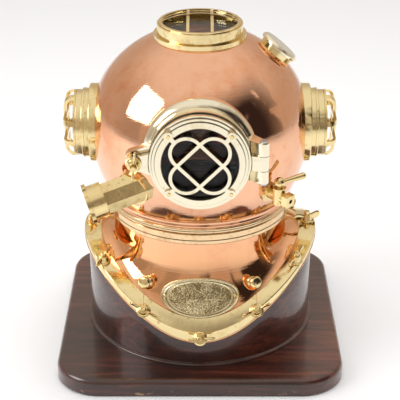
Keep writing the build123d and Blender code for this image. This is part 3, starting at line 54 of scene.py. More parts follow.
# Room: a pale floor, a pale surround and soft lamps. The surround is darker behind the camera,
# so that the polished metal has something to draw its shapes with.
class Shade:
    """A socket in a node tree: + - * / and ** add Math nodes, and node() adds any other node."""

    def __init__(self, tree, socket):
        self.tree = tree
        self.socket = socket

    def node(self, kind, settings=None, inputs=None, output=0):
        """Adds a node of a kind, sets what it is set to, fills its inputs and gives one output."""
        made = self.tree.nodes.new(kind)
        for name, value in (settings or {}).items():
            if name == "stops":
                while len(made.color_ramp.elements) < len(value):
                    made.color_ramp.elements.new(0.5)
                for element, (place, colour) in zip(made.color_ramp.elements, value):
                    element.position = place
                    element.color = (*colour, 1)
            else:
                setattr(made, name, value)
        for key, value in (inputs or {}).items():
            if isinstance(value, Shade):
                self.tree.links.new(value.socket, made.inputs[key])
            elif isinstance(value, tuple) and made.inputs[key].type == "RGBA":
                made.inputs[key].default_value = (*value, 1)
            else:
                made.inputs[key].default_value = value
        return Shade(self.tree, made.outputs[output])

    def maths(self, operation, first, second=0.0):
        """A Math node of two values, either of which may be a plain number."""
        return self.node("ShaderNodeMath", {"operation": operation}, {0: first, 1: second})

    def __add__(self, other):
        return self.maths("ADD", self, other)

    def __radd__(self, other):
        return self.maths("ADD", other, self)

    def __sub__(self, other):
        return self.maths("SUBTRACT", self, other)

    def __rsub__(self, other):
        return self.maths("SUBTRACT", other, self)

    def __mul__(self, other):
        return self.maths("MULTIPLY", self, other)

    def __rmul__(self, other):
        return self.maths("MULTIPLY", other, self)

    def __truediv__(self, other):
        return self.maths("DIVIDE", self, other)

    def __pow__(self, other):
        return self.maths("POWER", self, other)

    def part(self, index):
        """One of the three numbers of a vector."""
        return self.node("ShaderNodeSeparateXYZ", None, {0: self}, index)

    def spread(self, low, high):
        """0 at low and 1 at high, eased between and held outside."""
        return self.node(
            "ShaderNodeMapRange",
            {"interpolation_type": "SMOOTHSTEP"},
            {"Value": self, "From Min": low, "From Max": high},
        )

    def stretched(self, x, y, z):
        """A vector with each of its numbers multiplied."""
        return self.node("ShaderNodeVectorMath", {"operation": "MULTIPLY"}, {0: self, 1: (x, y, z)})

    def noise(self, scale, detail=3.0, rough=0.5, warp=0.0):
        """Smooth noise from 0 to 1 at a place."""
        wanted = {"Vector": self, "Scale": scale, "Detail": detail, "Roughness": rough, "Distortion": warp}
        return self.node("ShaderNodeTexNoise", None, wanted)

    def near(self, value, width):
        """1 at a value and 0 a width away from it on both sides."""
        return 1 - self.maths("ABSOLUTE", self - value).spread(0, width)

    def blend_of(self, first, second):
        """A colour that is the first at 0 and the second at 1."""
        return self.node("ShaderNodeMix", {"data_type": "RGBA"}, {0: self, 6: first, 7: second}, 2)


def finish_material(name, metallic=0.0):
    """A new material, its shader node and the place on the object, for patterns."""
    material = bpy.data.materials.new(name)
    material.use_nodes = True
    tree = material.node_tree
    shader = tree.nodes["Principled BSDF"]
    shader.inputs["Metallic"].default_value = metallic
    coordinates = tree.nodes.new("ShaderNodeTexCoord")
    return material, shader, Shade(tree, coordinates.outputs["Object"])


def feed(shader, name, value):
    """Links a value to one socket of the shader."""
    value.tree.links.new(value.socket, shader.inputs[name])


def relief(shader, height, strength, distance):
    """Lets a height from 0 to 1 bend the light on the surface."""
    bump = height.node("ShaderNodeBump", None, {"Strength": strength, "Distance": distance, "Height": height})
    feed(shader, "Normal", bump)


floor_reach = 6
floor_fade_start, floor_fade_end = 1.1, 3.4
floor_height = -0.0004
floor_ways = ((-1, -1), (1, -1), (1, 1), (-1, 1))
floor_corners = [(x * floor_reach, y * floor_reach, floor_height) for x, y in floor_ways]
floor_mesh = bpy.data.meshes.new("floor")
floor_mesh.from_pydata(floor_corners, [], [(0, 1, 2, 3)])
floor = bpy.data.objects.new("floor", floor_mesh)
bpy.context.scene.collection.objects.link(floor)
floor_material, floor_shader, floor_place = finish_material("pale_floor")
floor_shader.inputs["Base Color"].default_value = (0.77, 0.79, 0.82, 1)
floor_shader.inputs["Roughness"].default_value = 0.55
floor_distance = (floor_place.part(0) ** 2.0 + floor_place.part(1) ** 2.0) ** 0.5
floor_seen = floor_place.node("ShaderNodeLightPath", None, None, 0)
feed(floor_shader, "Alpha", 1 - floor_distance.spread(floor_fade_start, floor_fade_end) * floor_seen)
floor_mesh.materials.append(floor_material)

lamp_aim = np.array([0, 0, 0.25])
for lamp_name, place, size, power, mirrored in (
    ("window_lamp", (-2.2, -0.75, 1.75), 1.45, 36, True),
    ("ceiling_lamp", (0.2, 0.3, 2.6), 2.2, 46, False),
    ("right_lamp", (2.2, -0.9, 1.3), 1.0, 10, False),
):
    lamp = bpy.data.objects.new(lamp_name, bpy.data.lights.new(lamp_name, "AREA"))
    bpy.context.scene.collection.objects.link(lamp)
    lamp.data.size = size
    lamp.data.energy = power
    lamp.location = place
    lamp.visible_glossy = mirrored
    away = np.array(place) - lamp_aim
    tilt = np.arccos(away[2] / np.linalg.norm(away))
    lamp.rotation_euler = (tilt, 0, np.arctan2(away[1], away[0]) + np.pi / 2)

world = bpy.data.worlds.new("surround")
bpy.context.scene.world = world
world.use_nodes = True
world_tree = world.node_tree
world_coordinates = world_tree.nodes.new("ShaderNodeTexCoord")
toward = Shade(world_tree, world_coordinates.outputs["Generated"])
behind = toward.part(1).spread(0.45, -0.35)
ceiling = toward.part(2).spread(0.30, 0.95)
wall = ceiling.blend_of((0.58, 0.49, 0.40), (0.90, 0.86, 0.80))
posts = toward.stretched(1.0, 0.8, 0.22).noise(2.6, 2.0, 0.5, 0.6).spread(0.485, 0.545)
right_side = toward.part(0).spread(-0.15, 0.30) * 0.75 + 0.25
gloom = posts * behind * right_side * toward.part(2).spread(0.95, 0.60)
room = gloom.blend_of(wall, (0.035, 0.026, 0.024))
paths = toward.node("ShaderNodeLightPath", None, None, 0)
seen = paths.blend_of(room, (0.93, 0.93, 0.94))
world_shader = world_tree.nodes["Background"]
world_tree.links.new(seen.socket, world_shader.inputs["Color"])
world_shader.inputs["Strength"].default_value = 1.0
bpy.context.scene.view_settings.view_transform = "Standard"


# Base board: one rounded slab of dark wood, its edges rounded by a cutter and polished.
# It lies flat and carries the drum; its foot edge is knocked pale in places.
def piece(name, shape, material, body, *nodes, sharp=38):
    """A mesh from points and faces, shaded smooth but for edges sharper than some degrees."""
    points, faces = shape
    mesh = bpy.data.meshes.new(name)
    mesh.from_pydata(points.tolist(), [], faces)
    mesh.shade_smooth()
    mesh.set_sharp_from_angle(angle=np.radians(sharp))
    mesh.materials.append(material)
    made = bpy.data.objects.new(name, mesh)
    bpy.context.scene.collection.objects.link(made)
    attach(made, body)
    if nodes:
        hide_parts(*nodes)
    return made


def joined_rings(rings, ends="capped", flip=False):
    """Quads between closed rings of points (rings, count, 3); the last ring is capped or meets the first."""
    layers, count = rings.shape[:2]
    index = np.arange(layers * count).reshape(layers, count)
    if ends == "looped":
        index = np.vstack([index, index[:1]])
    here, after = index, np.roll(index, -1, axis=1)
    quads = np.stack([here[:-1], after[:-1], after[1:], here[1:]], axis=-1).reshape(-1, 4)
    faces = quads.tolist()
    if ends == "capped":
        faces += [index[0, ::-1].tolist(), index[-1].tolist()]
    if flip:
        faces = [face[::-1] for face in faces]
    return rings.reshape(-1, 3), faces


board_half = np.array([0.2, 0.195])
board_corner = 0.062
board_thickness = 0.025
board_top_round, board_foot_round = 0.008, 0.002
board_face_inset = 0.03
edge_turn = np.linspace(0, 2 * np.pi, 144, endpoint=False)
edge_way = np.column_stack([np.cos(edge_turn), np.sin(edge_turn)])
corner_centre = np.sign(edge_way + 1e-9) * (board_half - board_corner)
quarter_sweep = np.linspace(0, np.pi / 2, 5)
board_round = board_top_round * np.column_stack([1 - np.cos(quarter_sweep), np.sin(quarter_sweep)])
board_profile = np.vstack(
    [
        [(board_face_inset, 0), (board_foot_round, 0)],
        [(0, board_foot_round), (0, 0.009), (0, 0.016)],
        board_round + (0, board_thickness - board_top_round),
        [(board_face_inset, board_thickness), (0.058, board_thickness)],
    ]
)
board_rings = np.array(
    [
        np.column_stack([corner_centre + (board_corner - inset) * edge_way, np.full(len(edge_way), height)])
        for inset, height in board_profile
    ]
)

walnut, walnut_shader, walnut_place = finish_material("polished_walnut")
grain_run = walnut_place.stretched(0.7, 6.0, 9.0)
grain = grain_run.noise(9.0, 6.0, 0.62, 1.4)
fine_grain = walnut_place.stretched(6, 60, 60).noise(14.0, 3.0)
cloud = walnut_place.noise(7.0, 2.0)
wood_tone = (grain * 0.62 + cloud * 0.42).spread(0.30, 0.78)
wood_colour = wood_tone.node(
    "ShaderNodeValToRGB",
    {
        "stops": [
            (0.0, (0.014, 0.005, 0.004)),
            (0.45, (0.044, 0.012, 0.008)),
            (0.8, (0.105, 0.028, 0.015)),
            (1.0, (0.16, 0.046, 0.022)),
        ]
    },
    {0: wood_tone + (fine_grain - 0.5) * 0.25},
)
foot_zone = walnut_place.part(2).spread(0.012, 0.001)
chips = walnut_place.stretched(1.0, 1.0, 2.2).noise(42.0, 4.0, 0.65).spread(0.60, 0.66) * foot_zone
scuffs = walnut_place.noise(120.0, 4.0, 0.7).spread(0.66, 0.76) * walnut_place.part(2).spread(0.03, 0.004)
worn = chips.maths("MAXIMUM", chips, scuffs * 0.5)
feed(walnut_shader, "Base Color", worn.blend_of(wood_colour, (0.42, 0.26, 0.15)))
feed(walnut_shader, "Roughness", fine_grain * 0.10 + 0.24 + worn * 0.35)
walnut_shader.inputs["Coat Roughness"].default_value = 0.08
feed(walnut_shader, "Coat Weight", 0.75 - worn * 0.7)
relief(walnut_shader, fine_grain * 0.3 + grain * 0.5 - worn * 0.8, 0.25, 0.0006)
piece("base_board_wood", joined_rings(board_rings), walnut, "stand", "base_board", sharp=40)


# Drum: an upright oval of the same wood under the breastplate. Its top is cut to the roll of the
# shoulders, and a small bead runs round its foot.
saddle_radius = 0.18
rim_half = np.array([0.167, 0.162])
rim_front_height = 0.058
saddle_axis = rim_front_height - np.sqrt(saddle_radius**2 - rim_half[1] ** 2)


def oval_inside(inset):
    """The half axes of the brim's oval, taken in by a width that is measured along the roll."""
    turn = np.arcsin(rim_half[1] / saddle_radius)
    return rim_half[0] - inset, saddle_radius * np.sin(turn - np.asarray(inset) / saddle_radius)


def on_roll(points, radius):
    """Sets points of a plan at their height on the roll, which is a round bar that lies along X."""
    height = saddle_axis + np.sqrt(radius**2 - points[..., 1] ** 2)
    return np.concatenate([points, height[..., None]], axis=-1)


drum_count = 192
drum_inset = 0.006
drum_wall_foot = 0.0315
drum_turn = np.linspace(0, 2 * np.pi, drum_count, endpoint=False)
drum_way = np.column_stack([np.cos(drum_turn), np.sin(drum_turn)])
drum_half = rim_half - drum_inset


def drum_ring(grow, height):
    """One level ring of the drum's wall."""
    return np.column_stack([drum_way * (drum_half + grow), np.full(drum_count, height)])


drum_insets = (0.0006, 0.004, 0.03, 0.07, 0.11, 0.146)
drum_top = [on_roll(drum_way * (drum_half - inset), saddle_radius - 0.0003) for inset in drum_insets]
drum_edge = on_roll(drum_way * drum_half, saddle_radius - 0.0013)
drum_foot = drum_edge * (1, 1, 0) + (0, 0, drum_wall_foot)
drum_wall = [drum_foot + share * (drum_edge - drum_foot) for share in (0, 0.33, 0.66, 1)]
bead_round, bead_grow, bead_height = 0.0025, 0.0015, 0.0265
bead_grows = bead_grow + bead_round * np.cos(quarter_sweep)
bead_heights = bead_height + bead_round * np.sin(quarter_sweep)
drum_bead = [drum_ring(0.004, board_thickness)]
drum_bead += [drum_ring(grow, height) for grow, height in zip(bead_grows, bead_heights)]
drum_bead += [drum_ring(0.0005, 0.0293), drum_ring(0.0, 0.0297)]
drum_shape = joined_rings(np.array(drum_bead + drum_wall + drum_top))
piece("drum_wood", drum_shape, walnut, "stand", "plinth", sharp=40)

# Breastplate: one sheet of copper, spun and hammered from the collar out to the flat brim.
# The sheet is 2.5 mm thick, and its polish is uneven where it was beaten over the shoulders.
copper, copper_shader, copper_place = finish_material("polished_copper", 1.0)
hammer = copper_place.noise(16.0, 2.0, 0.5)
copper_cloud = copper_place.noise(5.5, 4.0, 0.6, 0.8)
copper_specks = copper_place.noise(60.0, 5.0, 0.7)
tarnish = (copper_cloud * 0.7 + copper_specks * 0.3).spread(0.47, 0.66)
chest_warmth = copper_place.part(2).spread(0.245, 0.165) * 0.7
bright_copper = chest_warmth.blend_of((0.93, 0.53, 0.34), (0.91, 0.47, 0.22))
copper_colour = tarnish.blend_of(bright_copper, (0.85, 0.40, 0.22))
rubbed = copper_specks.spread(0.60, 0.72)
feed(copper_shader, "Base Color", (rubbed * 0.35).blend_of(copper_colour, (0.70, 0.30, 0.17)))
feed(copper_shader, "Roughness", 0.055 + tarnish * 0.06 + rubbed * 0.12)
spun_lines = copper_place.stretched(1, 1, 60).noise(14.0, 2.0)
relief(copper_shader, hammer * 0.8 + spun_lines * 0.04 + copper_specks * 0.015, 0.32, 0.004)

shell_count = 256
shell_turn = np.linspace(0, 2 * np.pi, shell_count, endpoint=False)
shell_way = np.column_stack([np.cos(shell_turn), np.sin(shell_turn)])
collar_radius = 0.12
collar_foot = 0.176
collar_top = 0.198
brim_skin = saddle_radius + 0.003
brim_tie, brim_end = 0.012, 0.0245


def chest_point(way, share):
    """The sweep from the brim to the collar: a Bezier whose ends run along the roll and up the collar."""
    way = np.atleast_2d(way)
    start = on_roll(way * np.array(oval_inside(brim_end)), brim_skin)
    along = start - on_roll(way * np.array(oval_inside(brim_tie)), brim_skin)
    along /= np.linalg.norm(along, axis=1)[:, None]
    end = np.column_stack([way * collar_radius, np.full(len(way), collar_foot)])
    gap = np.linalg.norm(end - start, axis=1)[:, None]
    near = start + along * (0.012 + 0.10 * gap)
    far = end - np.array([0, 0, 1]) * (0.008 + 0.12 * gap)
    share = np.atleast_1d(share)[:, None]
    return (
        (1 - share) ** 3 * start
        + 3 * share * (1 - share) ** 2 * near
        + 3 * share**2 * (1 - share) * far
        + share**3 * end
    )


brim_rings = [
    on_roll(shell_way * np.column_stack(oval_inside(inset)), brim_skin)
    for inset in (0.0, 0.004, brim_tie, 0.02)
]
chest_rings = [chest_point(shell_way, np.full(shell_count, share)) for share in np.linspace(0, 1, 30)]
collar_rings = [
    np.column_stack([shell_way * collar_radius, np.full(shell_count, height)])
    for height in (0.181, 0.188, 0.194, collar_top)
]
shell_shape = joined_rings(np.array(brim_rings + chest_rings + collar_rings), "open")
breastplate_skin = piece(
    "breastplate_copper", shell_shape, copper, "breastplate", "breastplate_shell", sharp=60
)
shell_wall = breastplate_skin.modifiers.new("wall", "SOLIDIFY")
shell_wall.thickness = 0.0026
shell_wall.offset = -1


# Brim straps: four cast brass bands that clamp the brim, with rounded edges and a joint beside the
# second stud on each side. They are filed flat and polished.
def eased(outline, radius, steps=4, closed=True):
    """Rounds each corner of a polygon with a quadratic Bezier that starts a radius before it."""
    outline = np.asarray(outline, float)
    before, after = np.roll(outline, 1, axis=0), np.roll(outline, -1, axis=0)
    if not closed:
        before[0], after[-1] = outline[0], outline[-1]
    into, out = before - outline, after - outline
    reach_in = np.linalg.norm(into, axis=1)[:, None]
    reach_out = np.linalg.norm(out, axis=1)[:, None]
    start = outline + into / np.maximum(reach_in, 1e-9) * np.minimum(radius, reach_in * 0.45)
    end = outline + out / np.maximum(reach_out, 1e-9) * np.minimum(radius, reach_out * 0.45)
    share = np.linspace(0, 1, steps + 1)[None, :, None]
    start, middle, end = start[:, None], outline[:, None], end[:, None]
    curve = (1 - share) ** 2 * start + 2 * share * (1 - share) * middle + share**2 * end
    return curve.reshape(-1, outline.shape[1])


def brass_finish(name, colour, dull, wave, dirt, crease_shade_and_polish=None):
    """Polished cast brass: faint waves from filing, dull spots, specks of grime and darkened low places.

    Its last argument is a function of the place that is 1 in a corner or groove, where the brass is
    painted near black: painted shade, with some dried polish."""
    material, shader, place = finish_material(name, 1.0)
    cloud = place.noise(11.0, 4.0, 0.6, 0.5)
    specks = place.noise(95.0, 4.0, 0.7)
    stain = (cloud * 0.6 + specks * 0.4).spread(0.50, 0.66)
    base = stain.blend_of(colour, dull)
    grime = specks.spread(0.58, 0.72) * dirt
    toned = grime.blend_of(base, (0.30, 0.22, 0.10))
    rough = 0.13 + stain * 0.10 + grime * 0.25
    # Corners and grooves are painted near black: painted shade, with some dried polish.
    if crease_shade_and_polish:
        painted_shade_and_polish = crease_shade_and_polish(place) * (0.6 + specks * 0.6)
        toned = painted_shade_and_polish.blend_of(toned, (0.035, 0.022, 0.012))
        rough = rough + painted_shade_and_polish * 0.4
    feed(shader, "Base Color", toned)
    feed(shader, "Roughness", rough)
    scratches = place.stretched(30, 200, 60).noise(6.0, 2.0)
    relief(shader, place.noise(28.0, 2.0) * 0.7 + specks * 0.12 + scratches * 0.05, wave, 0.002)
    return material


brass = brass_finish("polished_brass", (0.91, 0.75, 0.41), (0.78, 0.58, 0.27), 0.20, 0.35)
strap_insets, strap_radii = (0.0004, 0.0246), (0.1831, 0.191)
strap_gap = 0.0003
strap_corners = [(strap_insets[i], strap_radii[j]) for i, j in ((0, 0), (0, 1), (1, 1), (1, 0))]
strap_profile = eased(strap_corners, 0.0016)
stud_step, stud_inset = 30, 0.0125
stud_x = (rim_half[0] - stud_inset) * np.sin(np.radians(stud_step))


def strap_shape(cut, quarter):
    """A band along the brim between two cuts across X; quarter is the angle of its middle."""
    width, depth = oval_inside(strap_profile[:, 0])
    reach = np.arccos(np.clip(cut / width, -1, 1))
    half = reach if quarter % 180 == 0 else np.pi / 2 - reach
    share = np.linspace(-1, 1, 97)[:, None]
    turn = np.radians(quarter) + share * half[None, :]
    plan = np.stack([np.cos(turn) * width, np.sin(turn) * depth], axis=-1)
    radius = np.broadcast_to(strap_profile[:, 1], turn.shape)
    height = saddle_axis + np.sqrt(radius**2 - plan[..., 1] ** 2)
    return joined_rings(np.concatenate([plan, height[..., None]], axis=-1), flip=True)


for strap_name, cut, quarter in (
    ("strap_front", stud_x - strap_gap, 270),
    ("strap_rear", stud_x - strap_gap, 90),
    ("strap_left", stud_x + strap_gap, 0),
    ("strap_right", stud_x + strap_gap, 180),
):
    piece(f"{strap_name}_brass", strap_shape(cut, quarter), brass, "breastplate", strap_name, sharp=50)


# Studs and wing nuts of the brim: turned studs, and cast nuts with two ears that rise from a round
# flange. Each nut stands as it was left when tightened.
def turned(profile, seat, count=96, loop=False):
    """Carries a profile of (radius, distance) round a seat's axis; its open ends close on the axis."""
    origin, axis, side = (np.asarray(v, float) for v in seat)
    up = np.cross(axis, side)
    turn = np.linspace(0, 2 * np.pi, count, endpoint=False)
    ring = np.cos(turn)[:, None] * side + np.sin(turn)[:, None] * up
    profile = np.asarray(profile, float)
    rings = origin + profile[:, 0, None, None] * ring + profile[:, 1, None, None] * axis
    return joined_rings(rings, "looped" if loop else "capped")


def gathered(shapes):
    """Several shapes as one."""
    points, faces, start = [], [], 0
    for some_points, some_faces in shapes:
        points.append(some_points)
        faces += [[corner + start for corner in face] for face in some_faces]
        start += len(some_points)
    return np.vstack(points), faces


def ear(seat, side):
    """A nut's ear: flat ovals carried out along a line that rises, thick at its round end."""
    origin, axis, across = (np.asarray(v, float) for v in seat)
    through = np.cross(axis, across)
    share = np.linspace(0, 1, 15)[:, None]
    out = side * (0.0035 + 0.0172 * share)
    rise = 0.0058 + 0.0034 * share**0.8
    round_end = np.sqrt(np.clip(1 - np.clip((share - 0.72) / 0.285, 0, 1) ** 2, 0.002, 1))
    half_height = (0.0046 + 0.0012 * np.sin(np.pi * share**1.5)) * round_end
    half_thick = (0.0022 - 0.0007 * np.sin(np.pi * share)) * round_end
    turn = np.linspace(0, 2 * np.pi, 20, endpoint=False)[None, :]
    lift = rise + half_height * np.sin(turn)
    thick = half_thick * np.sign(np.cos(turn)) * np.abs(np.cos(turn)) ** 0.8
    rings = origin + out[..., None] * across + lift[..., None] * axis + thick[..., None] * through
    return joined_rings(rings, flip=side < 0)


def wing_nut(seat):
    """A flange, a tapering hub with a chamfered bore, and two ears."""
    flange = [(0.004, 0), (0.0099, 0), (0.0099, 0.0021), (0.0074, 0.0027)]
    hub = eased(flange + [(0.0059, 0.0119), (0.004, 0.0119)], 0.0007, 3)
    return [turned(hub, seat, 48, True), ear(seat, 1), ear(seat, -1)]


def stud_seat(index, radius, turn=0.0):
    """A seat square to the roll at one of the twelve studs, turned about itself."""
    angle = np.radians(index * stud_step)
    width, depth = oval_inside(stud_inset)
    lean = np.arcsin(-depth * np.cos(angle) / saddle_radius)
    axis = np.array([0, np.sin(lean), np.cos(lean)])
    origin = np.array([width * np.sin(angle), radius * np.sin(lean), saddle_axis + radius * np.cos(lean)])
    turn = np.radians(turn)
    side = np.array([1.0, 0, 0])
    return origin, axis, np.cos(turn) * side + np.sin(turn) * np.cross(axis, side)


cast_brass = brass_finish("cast_brass", (0.89, 0.71, 0.36), (0.68, 0.48, 0.21), 0.30, 0.6)
nut_turns = (4, 24, 58, 22, 118, 156, 10, 35, 60, 80, 62, 152)
nut_shapes = []
stud_shapes = []
stud_outline = [(0.00395, 0), (0.00395, 0.027), (0.0016, 0.0272), (0.0013, 0.0255)]
stud_profile = eased(stud_outline, 0.0006, 3, False)
for index, turn in enumerate(nut_turns):
    nut_shapes += wing_nut(stud_seat(index, strap_radii[1], turn))
    stud_shapes.append(turned(stud_profile, stud_seat(index, saddle_radius), 32))
piece("rim_nuts_cast", gathered(nut_shapes), cast_brass, "breastplate", "rim_wing_nuts")
piece("rim_studs_turned", gathered(stud_shapes), cast_brass, "breastplate", "rim_studs")

# Neck joint: the breastplate's ring and the bonnet's ring, turned from castings, with grooves round
# them. Four lugs inside lock under four keepers on an eighth of a turn, on a leather washer.
leather, leather_shader, leather_place = finish_material("greased_leather")
hide = leather_place.noise(240.0, 4.0, 0.6)
feed(leather_shader, "Base Color", hide.blend_of((0.030, 0.016, 0.010), (0.085, 0.048, 0.028)))
feed(leather_shader, "Roughness", hide * 0.25 + 0.45)
relief(leather_shader, hide, 0.4, 0.0006)
upright = ((0, 0, 0), (0, 0, 1), (1, 0, 0))


def softened(name, node, material, body, width=0.0006, steps=2, angle=np.radians(32)):
    """A merged copy of a CAD node with its edges rounded, which then stands for the node."""
    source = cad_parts[node]
    mesh = source.data.copy()
    mesh.materials.clear()
    mesh.materials.append(material)
    work = bmesh.new()
    work.from_mesh(mesh)
    bmesh.ops.remove_doubles(work, verts=work.verts, dist=2e-6)
    bmesh.ops.dissolve_limit(work, angle_limit=np.radians(1.0), verts=work.verts, edges=work.edges)
    bmesh.ops.recalc_face_normals(work, faces=work.faces)
    work.to_mesh(mesh)
    work.free()
    if "custom_normal" in mesh.attributes:
        mesh.attributes.remove(mesh.attributes["custom_normal"])
    mesh.shade_smooth()
    made = bpy.data.objects.new(name, mesh)
    bpy.context.scene.collection.objects.link(made)
    rounding = made.modifiers.new("rounding", "BEVEL")
    rounding.width = width
    rounding.segments = steps
    rounding.limit_method = "ANGLE"
    rounding.angle_limit = angle
    rounding.harden_normals = True
    mesh.set_sharp_from_angle(angle=angle)
    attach(made, body)
    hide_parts(node)


def finished(node, material):
    """A CAD node that stays as it is, in a better material."""
    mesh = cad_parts[node].data
    mesh.materials.clear()
    mesh.materials.append(material)


def neck_shade_and_polish(place):
    """Painted shade, with dried polish, in the grooves of both neck rings and in the joint between them."""
    height = place.part(2)
    return height.near(0.2045, 0.0009) + height.near(0.2146, 0.0008) + height.near(0.2193, 0.0009)


# The neck rings are painted near black in their grooves and joint: painted shade, with dried polish.
ring_brass = brass_finish("neck_ring_brass", (0.88, 0.64, 0.38), (0.68, 0.42, 0.21), 0.10, 0.55, neck_shade_and_polish)
softened("neck_ring_turned", "breastplate_neck_ring", ring_brass, "breastplate", 0.0005)
finished("neck_gasket", leather)
softened("bonnet_ring_turned", "bonnet_neck_ring", ring_brass, "bonnet", 0.0005)
softened("safety_catch_arm", "safety_catch", brass, "safety_catch", 0.0004)
steel, steel_shader, steel_place = finish_material("turned_steel", 1.0)
steel_mark = steel_place.noise(160.0, 3.0)
feed(steel_shader, "Base Color", steel_mark.blend_of((0.42, 0.42, 0.42), (0.60, 0.59, 0.57)))
feed(steel_shader, "Roughness", steel_mark * 0.2 + 0.22)
for node in ("catch_pin", "latch_pin", "hinge_pin", "exhaust_spring"):
    finished(node, steel)


# Lanyard posts: two turned brass knobs on round feet, soldered to the chest.
# Each is turned from bar, and leans out of the chest at the same angle as its neighbour.
chest_curve, chest_slope = 0.13, 0.22
front_way = shell_way[shell_way[:, 1] < -0.35]
front_rows = [chest_point(front_way, np.full(len(front_way), share)) for share in np.linspace(0, 1, 120)]
front_columns = np.stack(front_rows, axis=1)


def on_chest(x, height, lift):
    """Puts a place across the chest and a height on the chest's sweep, lifted off it along its slope.

    Each column of the sweep gives its x and y at that height, and the wanted y is read between them."""
    across = np.array([np.interp(height, column[:, 2], column[:, 0]) for column in front_columns])
    depth = np.array([np.interp(height, column[:, 2], column[:, 1]) for column in front_columns])
    order = np.argsort(across)
    out = np.array([x / chest_curve, -1.0, chest_slope])
    point = np.array([x, np.interp(x, across[order], depth[order]), height])
    return point + out / np.linalg.norm(out) * lift


post_x, post_height = 0.071, 0.1335
post_turn, post_rise = np.radians(28), np.radians(20)
post_foot = [(0.0078, -0.004), (0.0078, 0.003), (0.0066, 0.0044), (0.0048, 0.0052), (0.0048, 0.0082)]
post_knob = [(0.0070, 0.0090), (0.0089, 0.0110), (0.0089, 0.0140), (0.0068, 0.0163), (0.0025, 0.0168)]
post_profile = eased(post_foot + post_knob, 0.0012, 4, False)
post_shapes = []
for side in (-1, 1):
    level = np.array([np.sin(post_turn) * side, -np.cos(post_turn), 0])
    axis = np.cos(post_rise) * level + np.sin(post_rise) * np.array([0, 0, 1])
    root = on_chest(side * post_x, post_height, 0)
    post_shapes.append(turned(post_profile, (root, axis, np.cross(level, (0, 0, 1))), 64))
piece("front_posts_turned", gathered(post_shapes), brass, "breastplate", "front_posts")

# Oval plate: sheet brass bent round the chest, with a raised rim and a stippled ground.
# It carries a plain border and no words; a brass screw holds each end.
plate_half = np.array([0.0535, 0.0265])
plate_height = 0.1205
plate_screw_x = 0.048
plate_lift = 0.0015
plate_brass, plate_shader, plate_place = finish_material("stippled_plate", 1.0)
plate_stipple = plate_place.noise(620.0, 3.0, 0.6)
plate_wear = plate_place.noise(45.0, 4.0, 0.6)
share_across = plate_place.part(0) / plate_half[0]
share_up = (plate_place.part(2) - plate_height) / plate_half[1]
plate_out = (share_across**2.0 + share_up**2.0) ** 0.5
plate_ground = 1 - plate_out.spread(0.78, 0.80)
plate_border = plate_out.near(0.875, 0.03)
plate_tone = (plate_stipple * 0.6 + plate_wear * 0.4).spread(0.42, 0.60)
plate_sunk = plate_tone.blend_of((0.20, 0.14, 0.06), (0.80, 0.69, 0.42))
plate_face = plate_tone.blend_of((0.74, 0.62, 0.36), (0.93, 0.83, 0.56))
plate_metal = plate_ground.blend_of(plate_face, plate_sunk)
feed(plate_shader, "Base Color", (plate_border * 0.8).blend_of(plate_metal, (0.10, 0.07, 0.03)))
feed(plate_shader, "Roughness", 0.36 - plate_tone * 0.12)
relief(plate_shader, plate_stipple * plate_ground + plate_wear * 0.2, 0.9, 0.0014)

plate_way = np.linspace(0, 2 * np.pi, 120, endpoint=False)
plate_outer = [(0.0, -0.0010), (0.0, 0.0016), (0.0004, 0.0024), (0.0012, 0.0028)]
plate_inner = [(0.0020, 0.0024), (0.0025, 0.0016)]
plate_bead = [(0.0042, plate_lift), (0.0046, 0.0019), (0.0052, 0.0019), (0.0056, plate_lift)]
plate_field = [(inset, plate_lift) for inset in (0.010, 0.015, 0.020, 0.025)]
plate_rings = []
for inset, lift in plate_outer + plate_inner + plate_bead + plate_field:
    across = np.cos(plate_way) * (plate_half[0] - inset)
    heights = plate_height + np.sin(plate_way) * (plate_half[1] - inset)
    plate_rings.append([on_chest(x, height, lift) for x, height in zip(across, heights)])
plate_shape = joined_rings(np.array(plate_rings), flip=True)
piece("oval_plate_brass", plate_shape, plate_brass, "breastplate", "oval_plate", sharp=70)

screw_shapes = []
screw_head = [(0.0024, -0.001), (0.0024, 0.0008), (0.0016, 0.0013), (0.0004, 0.0014)]
screw_profile = eased(screw_head, 0.0003, 3, False)
for side in (-1, 1):
    axis = np.array([side * 0.35, -0.92, 0.16])
    level = np.cross(axis, (0, 0, 1))
    seat = (
        on_chest(side * plate_screw_x, plate_height, plate_lift),
        axis / np.linalg.norm(axis),
        level / np.linalg.norm(level),
    )
    screw_shapes.append(turned(screw_profile, seat, 32))
piece("plate_screws_brass", gathered(screw_shapes), brass, "breastplate", "plate_screws")


# Bonnet: a copper dome spun in one piece, flattened at the crown and turned in at the neck, where
# it is soldered to its ring. Its windows' seats cover the edges of the holes cut in it.
dome_radius, equator, crown_top = 0.1525, 0.325, 0.462
neck_radius, neck_height, flare_top = 0.124, 0.2238, 0.2335
crown_hole, door_hole, side_hole = 0.053, 0.058, 0.045
door_height = 0.335
dome_drop, dome_inset = equator - neck_height, dome_radius - neck_radius
lower_radius = (dome_drop**2 + dome_inset**2) / (2 * dome_inset)
lower_turn = np.linspace(-np.arcsin(dome_drop / lower_radius), 0, 34)
lower_centre = dome_radius - lower_radius
lower_arc = np.column_stack(
    [lower_centre + lower_radius * np.cos(lower_turn), equator + lower_radius * np.sin(lower_turn)]
)
crown_rise = crown_top - equator
upper_turn = np.linspace(0, np.arccos(crown_hole / dome_radius), 64)[1:]
upper_arc = np.column_stack([dome_radius * np.cos(upper_turn), equator + crown_rise * np.sin(upper_turn)])
lower_arc = lower_arc[lower_arc[:, 1] > flare_top]
foot_flare = [(0.1276, 0.2239), (0.1272, 0.2258), (0.1261, 0.2280), (0.1262, 0.2305)]
dome_profile = np.vstack([foot_flare, lower_arc, upper_arc])
dome_points, dome_faces = turned(dome_profile, upright, 256)
